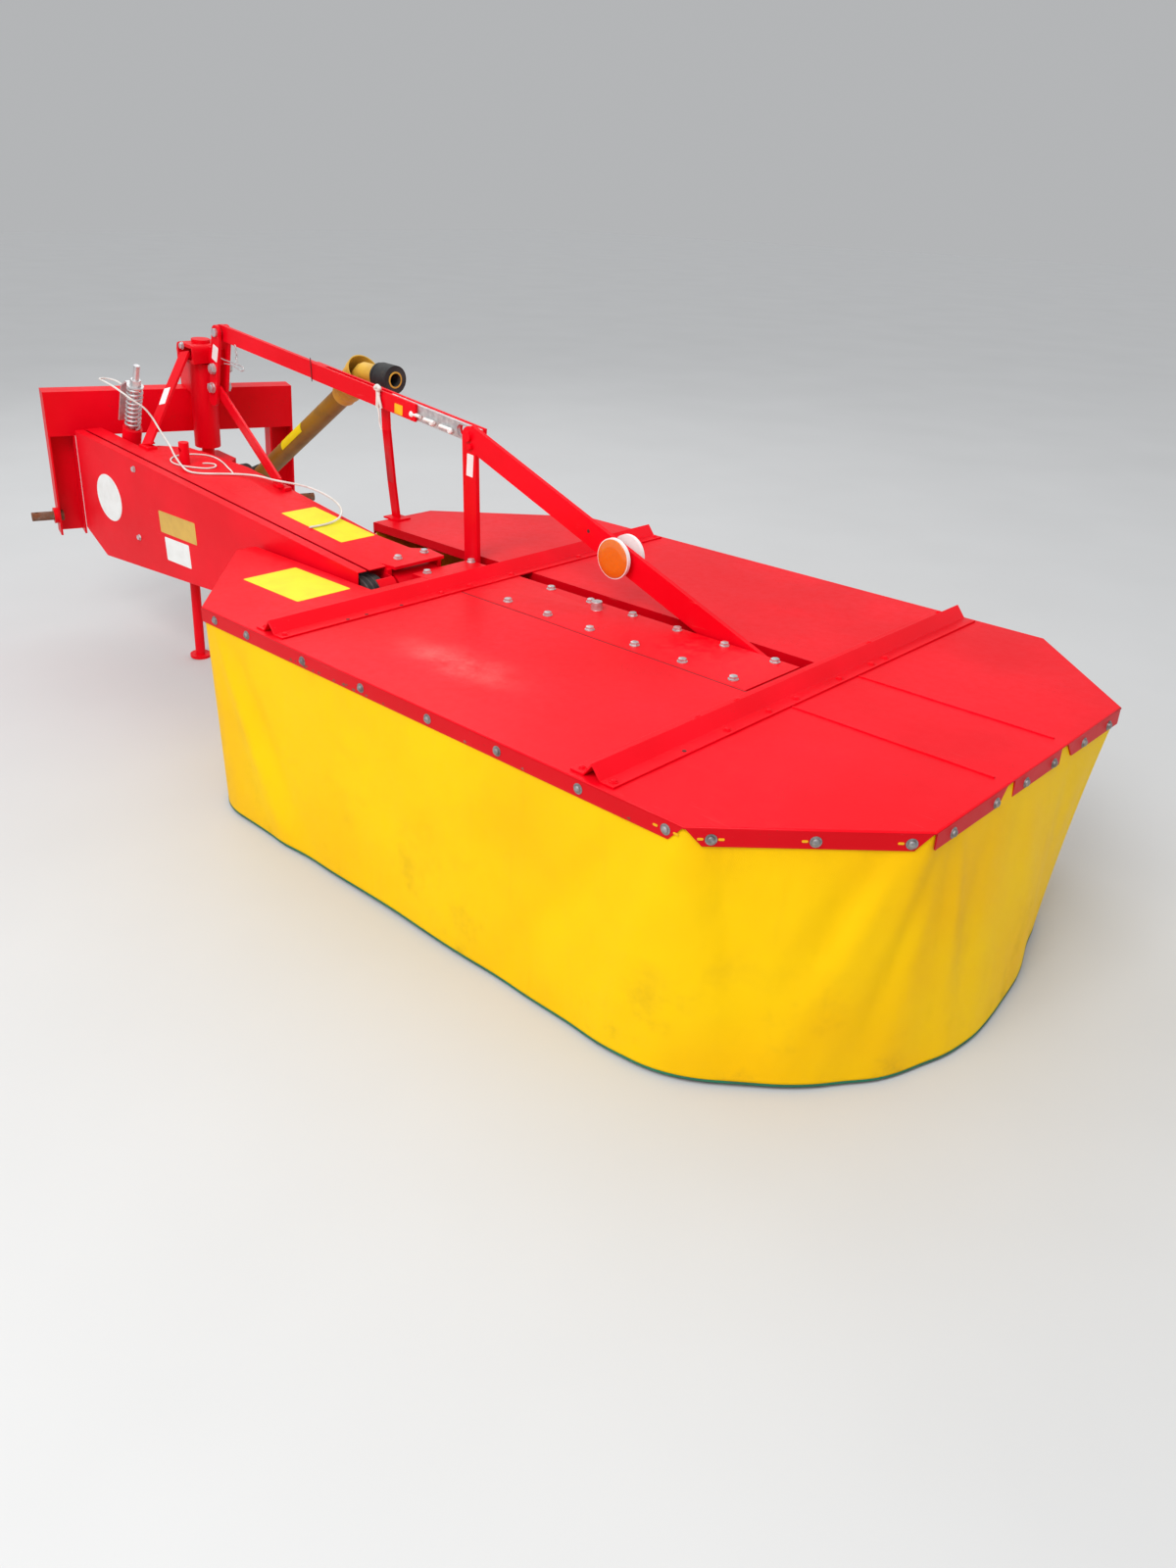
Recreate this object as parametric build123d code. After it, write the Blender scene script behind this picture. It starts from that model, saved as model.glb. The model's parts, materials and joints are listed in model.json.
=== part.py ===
from build123d import *
import math
import os

os.makedirs("parts", exist_ok=True)

# Drum mower for a tractor's three-point hitch, parked in its transport position.
# Shop frame in millimetres: X from the deck's inner end to its outer end,
# Y from the deck's centre line away from the belt side, Z up from the ground.

# Deck of pressed sheet, an octagon with a turned-down rim
DECK_LENGTH = 2060.0
DECK_WIDTH = 1270.0
DECK_TOP = 514.0
SHEET = 3.0
RIM_DROP = 34.0
INNER_CORNER_X = 354.0
INNER_CORNER_Y = 307.0
OUTER_CORNER_X = 283.0
OUTER_CORNER_Y = 272.0
SLOT_HALF = 117.0
NOTCH_LENGTH = 503.0
NOTCH_Y = -268.0
EDGE_FOLD = 24.0
RIM_BEVEL = 31.0
SEAM_BEVEL = 30.0
SEAM_CUT = 24.0

# Cross-members, roof-shaped folds on flat flanges, bolted across the panels
CROSS_WIDTH = 100.0
CROSS_ROOF = 42.0
CROSS_HEIGHT = 30.0
CROSS_SHEET = 4.0
CROSS_INSET = 14.0
CROSS_INNER_X = 610.0
CROSS_OUTER_X = 1567.0

# Gear beam that carries both drums
GEAR_Y = -21.0
GEAR_WIDTH = 188.0
GEAR_START = 466.0
GEAR_END = 1505.0
GEAR_HEIGHT = 102.0
COVER_SHEET = 4.0
PLUG_X = 968.0
PLUG_Y = 27.0
PLUG_RADIUS = 13.0
PLUG_HEIGHT = 20.0

# Drums, cutting discs, knives and the skid dishes below them
DRUM_SPACING = 825.0
DRUM_INNER_X = 617.0
DRUM_RADIUS = 150.0
DRUM_WALL = 5.0
DRUM_TOP = 382.0
CONE_TOP = 190.0
CONE_MID_RADIUS = 196.0
CONE_MID = 128.0
DISC_RADIUS = 335.0
DISC_EDGE_Z = 84.0
DISC_EDGE = 8.0
DISC_RISE = 16.0
HUB_RADIUS = 60.0
HUB_DEPTH = 40.0
SPINDLE_RADIUS = 24.0
NECK_RADIUS = 92.0
RUN_GAP = 6.0
BEARING_GAP = 0.5
KNIFE_COUNT = 3
KNIFE_REACH = 420.0
KNIFE_INSIDE = 306.0
KNIFE_WIDTH = 46.0
KNIFE_SHEET = 4.0
KNIFE_PIN = 9.0
DISH_RADIUS = 255.0
DISH_FLAT = 150.0
DISH_HEIGHT = 58.0
DISH_WALL = 6.0
DISH_HUB = 48.0
DISH_HUB_TOP = 74.0

# Skirt of coated cloth, hung inside the rim
SKIRT_WALL = 2.5
SKIRT_BOTTOM = 6.0
SKIRT_PASSAGE = 318.0
# where the hem stands off the rim: deck corner, share of the way to the next one, shift in X, shift in Y
SKIRT_HEM = (
    (0, 0.0, 0.0, -8.0),
    (1, 0.0, 0.0, -8.0),
    (1, 0.94, 0.0, -8.0),
    (2, 0.0, -3.0, 4.0),
    (2, 0.5, 16.0, -8.0),
    (3, 0.0, -16.0, 2.0),
    (3, 0.24, 41.6, 0.0),
    (3, 0.39, 40.0, 0.0),
    (3, 0.68, 7.0, 0.0),
    (4, 0.0, -46.0, -36.0),
    (4, 0.5, -12.0, -6.0),
    (5, 0.0, 0.0, 6.0),
    (6, 0.0, 0.0, 8.0),
    (7, 0.0, 0.0, 8.0),
)
SEAT = 0.3

# Arm frame: its origin is the float axis, and its hitch end is raised
ARM_AXIS_X = 418.0
ARM_AXIS_Z = 461.0
ARM_SLOPE = 5.0
ARM_TOP = 78.0
ARM_PLATE = 8.0
ARM_HITCH_END = -1130.0
ARM_DECK_END = 30.0
ARM_NEAR = -172.0
ARM_WALL = 6.0
ARM_DEPTH_HITCH = 168.0
ARM_DEPTH_DECK = 100.0
ARM_BOX_END = -80.0
ARM_BOX_FAR = -50.0

# Belt housing: a cover on the near side and a tray behind it, with a slit between
BELT_NEAR = -258.0
BELT_SLIT_NEAR = -230.0
BELT_SLIT_FAR = -223.0
BELT_SHEET = 3.0
BELT_LEFT = -1449.0
BELT_LEFT_BOTTOM = -233.0
BELT_KNEE_X = -1324.0
BELT_KNEE_Z = -292.0
BELT_RIGHT = 12.0
BELT_RIGHT_BOTTOM = -101.0

# Belt drive
PULLEY_SMALL = 58.0
PULLEY_LARGE = 140.0
PULLEY_WIDTH = 52.0
INPUT_X = -1270.0
INPUT_Z = -108.0
GROOVES = 3
GROOVE_DEPTH = 9.0
BELT_GAP = 0.4
GUARD_RADIUS = 73.0
SHAFT_RADIUS = 18.0

# Float bearing at the deck end
GEARBOX_RADIUS = 53.0
GEARBOX_NEAR = -150.0
GEARBOX_FAR = -14.0
TRUNNION_RADIUS = 30.0
LUG_NEAR_RING = 46.0
LUG_FAR_RING = 36.0
LUG_FAR_PIN = 20.0
LUG_SHEET = 12.0
LUG_NECK = 20.0

# Head of the arm: lower lug, swivel pin, yoke and tower
SWIVEL_X = -1313.0
SWIVEL_Y = 120.0
SWIVEL_PIN = 20.0
BARREL_RADIUS = 41.0
BARREL_BOTTOM = 18.0
BARREL_TOP = 283.0
HEAD_TOP = -20.0
HEAD_SHEET = 16.0
HEAD_LEFT = -1392.0
HEAD_FAR = 190.0
YOKE_BOTTOM = 289.0
YOKE_TOP = 344.0
YOKE_LEFT = -1360.0
YOKE_RIGHT = -1262.0
YOKE_NEAR = 62.0
YOKE_FAR = 176.0
YOKE_SHEET = 10.0
YOKE_ROUND = 20.0
TOWER_SHEET = 10.0
TOWER_GAP = 24.0
TOWER_Y = 128.0
TOWER_WIDTH = 44.0
TOWER_PIN_X = -1198.0
TOWER_PIN_Z = 394.0
TOWER_FOOT_X = -1238.0
TOWER_FOOT_Z = 186.0
TOWER_PIN = 12.5

# Stays of flat bar
STAY_WIDTH = 40.0
STAY_SHEET = 8.0
NEAR_STAY_FOOT = (-1176.0, -163.0)
FAR_STAY_FOOT = (-640.0, -44.0)

# Spring latch
LATCH_X = -1344.0
LATCH_Y = -137.0
LATCH_LEAN = 18.4
LATCH_ROD = 9.0
LATCH_ROD_TOP = 322.0
LATCH_NUT = 16.0
LATCH_NUT_HEIGHT = 19.0
LEVER_WIDTH = 34.0
LEVER_SHEET = 5.0
LEVER_SEAT = 30.0
LEVER_REACH = 56.0
LEVER_TOP = 226.0
LEVER_BOTTOM = 108.0
SPRING_RADIUS = 21.0
SPRING_WIRE = 3.6
SPRING_BOTTOM = 112.0
SPRING_TOP = 252.0
SPRING_TURNS = 9
CUP_RADIUS = 29.0
CUP_BOTTOM = 8.0

# Pull rope, from the lever's outer face to its free end on the arm's plate, in the arm frame
ROPE_RADIUS = 3.0
ROPE_ROUTE = (
    (-1329.5, -137.0, 221.9),
    (-1352.0, -137.5, 229.5),
    (-1374.0, -144.0, 236.0),
    (-1389.0, -161.0, 240.0),
    (-1391.0, -181.0, 242.5),
    (-1376.0, -195.5, 244.0),
    (-1345.0, -194.0, 243.0),
    (-1302.0, -188.0, 237.0),
    (-1264.0, -181.0, 226.5),
    (-1228.0, -172.0, 213.0),
    (-1205.0, -145.5, 192.0),
    (-1198.0, -125.5, 161.5),
    (-1168.0, -126.0, 139.0),
    (-1118.0, -136.0, 124.0),
    (-1052.0, -153.0, 113.0),
    (-989.0, -176.0, 104.0),
    (-935.0, -186.0, 89.5),
    (-893.0, -190.0, 82.0),
    (-863.0, -170.0, 81.6),
    (-838.0, -130.0, 81.8),
    (-810.0, -84.0, 82.2),
    (-770.0, -58.0, 86.0),
    (-712.0, -56.0, 95.0),
    (-650.0, -60.0, 102.5),
    (-602.0, -45.0, 106.0),
    (-556.0, -20.0, 105.6),
    (-500.0, -9.0, 103.0),
    (-440.0, -10.0, 99.6),
    (-386.0, -22.0, 96.0),
    (-342.0, -46.0, 91.4),
    (-315.0, -82.0, 85.6),
    (-309.0, -128.0, 81.8),
    (-313.0, -173.0, 82.0),
)

# Parking stand
STAND_X = -981.0
STAND_Y = -148.0
STAND_RADIUS = 15.0
STAND_TOP = 141.0
STAND_FOOT = 32.0
STAND_FOOT_SHEET = 8.0
STAND_SLEEVE = 22.0
STAND_SLEEVE_LENGTH = 150.0

# Tension link and its frame on the gear beam
LINK_HEIGHT = 46.0
LINK_SHEET = 12.0
LINK_SIDE = 8.0
LINK_STRIP = 12.0
LINK_JOINT_X = -690.0
LINK_STRIP_X = -210.0
LINK_END_X = 44.0
LINK_END_Y = 102.0
LINK_SLOT = 51.0
LINK_SLOT_PLAY = 3.0
FRAME_Y = 86.0
FRAME_POST_X = 466.0
FRAME_POST_WIDTH = 50.0
FRAME_SHEET = 12.0
FRAME_APEX_Z = 826.0
FRAME_FOOT_X = 1425.0
FRAME_BAR = 60.0
APEX_PIN = 12.0
REFLECTOR_X = 985.0
REFLECTOR_RADIUS = 47.0
REFLECTOR_SHEET = 9.0
REFLECTOR_STEM = 9.0

# Bent strut that props the link on the far panel
STRUT_FOOT = (14.0, 190.0)
STRUT_BEND = (34.0, 165.0, 628.0)
STRUT_TOP = (72.0, 824.0)
STRUT_WIDTH = 30.0
STRUT_SHEET = 8.0

# Drive shaft, stowed against the link
STUB_FAR = 205.0
BOOT_RADIUS = 60.0
BOOT_NEAR = 162.0
JOINT_LOW = (-1270.0, 250.0, -119.0)
TUBE_LOW = (-1190.0, 243.0, -62.0)
TUBE_HIGH = (-672.0, 199.0, 309.0)
BELL_MOUTH = (-566.0, 197.0, 398.0)
COLLAR_LOW = (-480.0, 195.0, 402.0)
COLLAR_END = (-424.0, 195.0, 404.0)
TUBE_RADIUS = 29.0
BELL_SMALL = 33.0
BELL_RADIUS = 51.0
BELL_WALL = 3.0
BELL_FLOOR = 0.12
BELL_RIBS = 5
BELL_RIB = 3.0
YOKE_BAR = 26.0
COLLAR_RADIUS = 38.0
SPLINE_RADIUS = 17.5

# Hitch: beam, legs, lower pins, barrel and top-link lugs
HITCH_SWING = -16.1
HITCH_WIDTH = 786.0
HITCH_FAR_REACH = 312.0
BEAM_FACE = -80.0
BEAM_BOTTOM = 47.0
BEAM_TOP = 184.0
BEAM_DEPTH = 62.0
HITCH_SHEET = 6.0
LEG_WIDTH = 80.0
LEG_BOTTOM = -274.0
LOWER_PIN_Z = -216.0
LOWER_PIN_RADIUS = 14.0
LOWER_PIN_LENGTH = 66.0
LOWER_PIN_SHOULDER = 17.0
LOWER_PIN_ROOT = 12.0
LINCHPIN_RADIUS = 5.5
LINCHPIN_IN = 16.0
LOWER_COLLAR_RADIUS = 25.0
LOWER_COLLAR = 12.0
LINK_EYE_RADIUS = 12.75
LINK_EYE_X = -148.0
LINK_EYE_Z = 290.0
LUG_GAP = 52.0
LUG_PLATE = 12.0

GEAR_TOP = DECK_TOP - COVER_SHEET
GEAR_BOTTOM = GEAR_TOP - GEAR_HEIGHT
DRUM_X = (DRUM_INNER_X, DRUM_INNER_X + DRUM_SPACING)
TRAY_FAR = ARM_NEAR
HITCH_NEAR_REACH = HITCH_WIDTH - HITCH_FAR_REACH

arm_frame = Location((ARM_AXIS_X, 0, ARM_AXIS_Z), (0, ARM_SLOPE, 0))
hitch_frame = arm_frame * Location((SWIVEL_X, SWIVEL_Y, 0), (0, 0, HITCH_SWING))
nodes = {}


def block(x0, x1, y0, y1, z0, z1):
    """A box between two corners."""
    size = Box(x1 - x0, y1 - y0, z1 - z0)
    return Pos((x0 + x1) / 2, (y0 + y1) / 2, (z0 + z1) / 2) * size


def upright(radius, x, y, z0, z1):
    """A cylinder along Z."""
    return Pos(x, y, (z0 + z1) / 2) * Cylinder(radius, z1 - z0)


def crosswise(radius, x, z, y0, y1):
    """A cylinder along Y."""
    return Pos(x, (y0 + y1) / 2, z) * Rot(90, 0, 0) * Cylinder(radius, y1 - y0)


def plate_xy(points, z0, z1):
    """An upright prism over an outline in plan."""
    outline = make_face(Polyline(*points, close=True))
    return Pos(0, 0, z0) * extrude(outline, z1 - z0, dir=(0, 0, 1))


def plate_xz(points, y0, y1):
    """A prism along Y over an outline in the X-Z plane."""
    outline = make_face(Polyline(*[(x, 0, z) for x, z in points], close=True))
    return Pos(0, y0, 0) * extrude(outline, y1 - y0, dir=(0, 1, 0))


def spun(points, x, y):
    """A body of revolution about an upright axis, from (radius, height) points."""
    outline = make_face(Polyline(*[(r, 0, z) for r, z in points], close=True))
    return Pos(x, y, 0) * revolve(outline, Axis.Z)


def bar(start, end, width, thickness, side):
    """A flat bar from start to end; side is the direction that its width takes."""
    a = Vector(*start)
    b = Vector(*end)
    along = (b - a).normalized()
    across = (Vector(*side) - along * along.dot(Vector(*side))).normalized()
    plane = Plane(origin=a, x_dir=across, z_dir=along)
    return extrude(plane * Rectangle(width, thickness), (b - a).length, dir=along)


def rod(start, end, radius, end_radius=None):
    """A round rod or a cone between two points."""
    a = Vector(*start)
    b = Vector(*end)
    along = (b - a).normalized()
    plane = Plane(origin=a, z_dir=along)
    length = (b - a).length
    if end_radius is None:
        return plane * Pos(0, 0, length / 2) * Cylinder(radius, length)
    return plane * Pos(0, 0, length / 2) * Cone(radius, end_radius, length)


def together(solids):
    """Several solids as one node."""
    whole = solids[0]
    for solid in solids[1:]:
        whole = whole + solid
    return whole


def between(start, end, share):
    """The point at a share of the way from start to end."""
    return tuple(a + (b - a) * share for a, b in zip(start, end))


# Deck panels

def deck_outline(inset):
    """Corners of the deck's octagon, moved inwards by an inset."""
    turn_in = inset * math.tan(math.atan2(INNER_CORNER_Y, INNER_CORNER_X) / 2)
    turn_out = inset * math.tan(math.atan2(OUTER_CORNER_Y, OUTER_CORNER_X) / 2)
    side_in = inset * math.tan(math.atan2(INNER_CORNER_X, INNER_CORNER_Y) / 2)
    side_out = inset * math.tan(math.atan2(OUTER_CORNER_X, OUTER_CORNER_Y) / 2)
    half = DECK_WIDTH / 2
    near = [
        (inset, -half + INNER_CORNER_Y + side_in),
        (INNER_CORNER_X + turn_in, -half + inset),
        (DECK_LENGTH - OUTER_CORNER_X - turn_out, -half + inset),
        (DECK_LENGTH - inset, -half + OUTER_CORNER_Y + side_out),
    ]
    far = [(x, -y) for x, y in reversed(near)]
    return near + far


def panel(keep):
    """Sheet and rim of one deck panel: the whole pressing cut by a block in plan."""
    outer = plate_xy(deck_outline(0), DECK_TOP - RIM_DROP, DECK_TOP)
    hollow = plate_xy(deck_outline(SHEET), DECK_TOP - RIM_DROP, DECK_TOP - SHEET)
    return (outer - hollow) & keep


def rim_bevel(corner, toward, length):
    """The wedge that bevels a rim's end at a corner, along the edge towards another one."""
    start = Vector(corner[0], corner[1], DECK_TOP)
    along = (Vector(toward[0], toward[1], DECK_TOP) - start).normalized()
    plane = Plane(origin=start, x_dir=along, z_dir=Vector(along.Y, -along.X, 0))
    top = -SHEET - 1
    low = -RIM_DROP - 1
    wedge = make_face(Polyline((-SHEET, top), (SHEET, top), (length, low), (-SHEET, low), close=True))
    return extrude(plane * wedge, 2 * SHEET, both=True)


def bevelled(sheet, corners, seam):
    """A side panel whose rim ends in bevels at its outer corners and at the seam of the end panel."""
    start, corner, last = corners
    sheet -= rim_bevel(corner, start, RIM_BEVEL)
    sheet -= rim_bevel(corner, last, RIM_BEVEL)
    sheet -= rim_bevel(last, corner, RIM_BEVEL)
    return sheet - rim_bevel((DECK_LENGTH, seam), last, SEAM_BEVEL)


def fold(x0, x1, y0, y1):
    """A short turned-down edge under the sheet."""
    return block(x0, x1, y0, y1, DECK_TOP - EDGE_FOLD, DECK_TOP - SHEET)


def build_deck():
    half = DECK_WIDTH / 2
    low = DECK_TOP - RIM_DROP
    near = panel(block(0, DECK_LENGTH, -half, -SLOT_HALF, low, DECK_TOP))
    near -= block(0, NOTCH_LENGTH, NOTCH_Y, -SLOT_HALF, low, DECK_TOP)
    near += fold(SHEET, NOTCH_LENGTH, NOTCH_Y - SHEET, NOTCH_Y)
    near += fold(NOTCH_LENGTH, NOTCH_LENGTH + SHEET, NOTCH_Y - SHEET, -SLOT_HALF)
    far = panel(block(0, DECK_LENGTH, SLOT_HALF, half, low, DECK_TOP))
    far += fold(SHEET, DECK_LENGTH - 2 * SHEET - SKIRT_WALL, SLOT_HALF, SLOT_HALF + SHEET)
    end_start = GEAR_END + RUN_GAP
    end = panel(block(end_start, DECK_LENGTH, -SLOT_HALF, SLOT_HALF, low, DECK_TOP))
    end += fold(end_start, end_start + SHEET, -SLOT_HALF, SLOT_HALF)
    for y0 in (-SLOT_HALF, SLOT_HALF - SEAM_CUT):
        end -= block(DECK_LENGTH - 2 * SHEET, DECK_LENGTH, y0, y0 + SEAM_CUT, low, DECK_TOP - SHEET)
    corners = deck_outline(0)
    nodes["deck_panel_near"] = bevelled(near, corners[1:4], -SLOT_HALF)
    nodes["deck_panel_far"] = bevelled(far, corners[6:3:-1], SLOT_HALF)
    nodes["deck_panel_end"] = end


def build_cross_members():
    half = CROSS_WIDTH / 2
    foot = CROSS_ROOF / 2
    rise = CROSS_HEIGHT - CROSS_SHEET
    reach = DECK_WIDTH / 2 - CROSS_INSET
    lean = math.hypot(foot, rise)
    inside = foot - CROSS_SHEET * (lean - foot) / rise
    profile = [
        (-half, 0), (-half, CROSS_SHEET), (-foot, CROSS_SHEET), (0, CROSS_HEIGHT),
        (foot, CROSS_SHEET), (half, CROSS_SHEET), (half, 0),
        (inside, 0), (0, inside * rise / foot), (-inside, 0),
    ]
    for name, x in (("cross_member_inner", CROSS_INNER_X), ("cross_member_outer", CROSS_OUTER_X)):
        nodes[name] = Pos(x, 0, DECK_TOP) * plate_xz(profile, -reach, reach)


def build_gear_beam():
    near = GEAR_Y - GEAR_WIDTH / 2
    far = GEAR_Y + GEAR_WIDTH / 2
    beam = block(GEAR_START, GEAR_END, near, far, GEAR_BOTTOM, GEAR_TOP)
    beam += crosswise(GEARBOX_RADIUS, ARM_AXIS_X, ARM_AXIS_Z, GEARBOX_NEAR, GEARBOX_FAR)
    beam += crosswise(TRUNNION_RADIUS, ARM_AXIS_X, ARM_AXIS_Z, ARM_NEAR, GEARBOX_NEAR)
    beam += crosswise(LUG_FAR_PIN, ARM_AXIS_X, ARM_AXIS_Z, GEARBOX_FAR, GEARBOX_FAR + LUG_SHEET + RUN_GAP)
    for x in DRUM_X:
        beam += upright(NECK_RADIUS, x, GEAR_Y, DRUM_TOP + RUN_GAP, GEAR_BOTTOM)
    nodes["gear_beam"] = beam
    cover = block(GEAR_START, GEAR_END, near, far, GEAR_TOP, DECK_TOP)
    cover += upright(PLUG_RADIUS, PLUG_X, PLUG_Y, DECK_TOP, DECK_TOP + PLUG_HEIGHT)
    nodes["gear_cover"] = cover


def build_drums():
    """Drum shells open below, with discs, knives, spindles and skid dishes."""
    bore = SPINDLE_RADIUS + BEARING_GAP
    shell = [
        (bore, DRUM_TOP), (HUB_RADIUS + 20, DRUM_TOP), (DRUM_RADIUS, DRUM_TOP - 14),
        (DRUM_RADIUS, CONE_TOP), (CONE_MID_RADIUS, CONE_MID),
        (CONE_MID_RADIUS + 60, DISC_EDGE_Z + DISC_EDGE + DISC_RISE),
        (DISC_RADIUS, DISC_EDGE_Z + DISC_EDGE), (DISC_RADIUS, DISC_EDGE_Z),
        (KNIFE_INSIDE - 12, DISC_EDGE_Z),
        (CONE_MID_RADIUS + 58, DISC_EDGE_Z + DISC_RISE),
        (CONE_MID_RADIUS - DRUM_WALL, CONE_MID - DRUM_WALL),
        (DRUM_RADIUS - DRUM_WALL, CONE_TOP - DRUM_WALL / 2),
        (DRUM_RADIUS - DRUM_WALL, DRUM_TOP - 14 - DRUM_WALL),
        (HUB_RADIUS, DRUM_TOP - DRUM_WALL - 3), (HUB_RADIUS, DRUM_TOP - HUB_DEPTH),
        (bore, DRUM_TOP - HUB_DEPTH),
    ]
    dish = [
        (0, 0), (DISH_FLAT, 0), (DISH_FLAT + 60, 12), (DISH_RADIUS, DISH_HEIGHT - 8),
        (DISH_RADIUS, DISH_HEIGHT), (DISH_RADIUS - DISH_WALL, DISH_HEIGHT),
        (DISH_FLAT + 56, 12 + DISH_WALL), (DISH_FLAT - 2, DISH_WALL),
        (DISH_HUB, DISH_WALL), (DISH_HUB, DISH_HUB_TOP), (SPINDLE_RADIUS, DISH_HUB_TOP),
        (SPINDLE_RADIUS, DRUM_TOP + RUN_GAP), (0, DRUM_TOP + RUN_GAP),
    ]
    names = ("inner", "outer")
    for index, x in enumerate(DRUM_X):
        name = names[index]
        nodes["drum_" + name] = spun(shell, x, GEAR_Y)
        nodes["skid_dish_" + name] = spun(dish, x, GEAR_Y)
        # both sets start alike: as the drums turn against each other, the knives meet half a pitch apart
        knives = []
        for count in range(KNIFE_COUNT):
            turn = 360 / KNIFE_COUNT * count
            blade = block(KNIFE_INSIDE, KNIFE_REACH, -KNIFE_WIDTH / 2, KNIFE_WIDTH / 2,
                          DISC_EDGE_Z - KNIFE_SHEET, DISC_EDGE_Z)
            blade += upright(KNIFE_PIN, KNIFE_INSIDE + 14, 0, DISC_EDGE_Z - KNIFE_SHEET - 5, DISC_EDGE_Z)
            knives.append(Pos(x, GEAR_Y, 0) * Rot(0, 0, turn) * blade)
        nodes["knives_" + name] = together(knives)


def skirt_outline(inset, spread):
    """The skirt's corners in plan: at the rim for a spread of 0, at the hem for 1."""
    corners = deck_outline(inset)
    points = []
    for corner, share, shift_x, shift_y in SKIRT_HEM:
        x, y = between(corners[corner], corners[(corner + 1) % 8], share)
        points.append((x + spread * shift_x, y + spread * shift_y))
    return points


def build_skirt():
    top = DECK_TOP - SHEET - SEAT
    rim = DECK_TOP - RIM_DROP - 1
    shells = []
    for inset in (SHEET + SEAT, SHEET + SEAT + SKIRT_WALL):
        upper = make_face(Polyline(*skirt_outline(inset, 0), close=True))
        lower = make_face(Polyline(*skirt_outline(inset, 1), close=True))
        spread = loft([Pos(0, 0, SKIRT_BOTTOM) * lower, Pos(0, 0, rim) * upper], ruled=True)
        shells.append(spread + plate_xy(deck_outline(inset), rim, top))
    ring = shells[0] - shells[1]
    gap = SHEET + SEAT
    ring -= block(-20, INNER_CORNER_X / 2, NOTCH_Y - gap, SLOT_HALF + gap, SKIRT_PASSAGE, DECK_TOP)
    nodes["skirt"] = ring


# Arm, in the arm frame

def belt_outline(inset):
    """Side outline of the belt housing, moved inwards by an inset."""
    return [
        (BELT_LEFT + inset, ARM_TOP - inset),
        (BELT_RIGHT, ARM_TOP - inset),
        (BELT_RIGHT, BELT_RIGHT_BOTTOM + inset),
        (BELT_KNEE_X + inset / 3, BELT_KNEE_Z + inset),
        (BELT_LEFT + inset, BELT_LEFT_BOTTOM + inset / 2),
    ]


def build_belt_housing():
    cover = plate_xz(belt_outline(0), BELT_NEAR, BELT_SLIT_NEAR)
    cover -= plate_xz(belt_outline(BELT_SHEET), BELT_NEAR + BELT_SHEET, BELT_SLIT_NEAR)
    tray = plate_xz(belt_outline(0), BELT_SLIT_FAR, TRAY_FAR)
    tray -= plate_xz(belt_outline(BELT_SHEET), BELT_SLIT_FAR, TRAY_FAR - BELT_SHEET)
    tray -= crosswise(TRUNNION_RADIUS + BEARING_GAP, 0, 0, BELT_SLIT_FAR, TRAY_FAR)
    tray -= crosswise(SHAFT_RADIUS + BEARING_GAP, INPUT_X, INPUT_Z, BELT_SLIT_FAR, TRAY_FAR)
    # the tray's wall and a strip go round the pulley at the open end
    disc = crosswise(GUARD_RADIUS, 0, 0, BELT_SLIT_FAR, TRAY_FAR)
    disc -= crosswise(GUARD_RADIUS - BELT_SHEET, 0, 0, BELT_SLIT_FAR, TRAY_FAR - BELT_SHEET)
    disc -= crosswise(TRUNNION_RADIUS + BEARING_GAP, 0, 0, BELT_SLIT_FAR, TRAY_FAR)
    tray += disc & block(BELT_RIGHT, GUARD_RADIUS, BELT_SLIT_FAR, TRAY_FAR, -GUARD_RADIUS, 60)
    # spacers join the cover to the tray where its side bolts are
    for x, z in ((-1083, 55), (-1091, -162), (-330, 5)):
        tray += crosswise(6, x, z, BELT_NEAR + BELT_SHEET, TRAY_FAR - BELT_SHEET)
    nodes["belt_cover"] = arm_frame * cover
    nodes["belt_tray"] = arm_frame * tray


def grooved_pulley(radius, x, z, bore):
    """A V-belt pulley on an axis along Y, with its hub."""
    near = BELT_NEAR + BELT_SHEET + RUN_GAP
    wheel = crosswise(radius, x, z, near, near + PULLEY_WIDTH)
    pitch = PULLEY_WIDTH / (GROOVES + 0.3)
    for count in range(GROOVES):
        middle = near + pitch * (count + 0.65)
        ring = crosswise(radius + 1, x, z, middle - pitch * 0.36, middle + pitch * 0.36)
        ring -= crosswise(radius - GROOVE_DEPTH, x, z, middle - pitch * 0.36, middle + pitch * 0.36)
        wheel -= ring
    return wheel - crosswise(bore, x, z, near, near + PULLEY_WIDTH)


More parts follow.
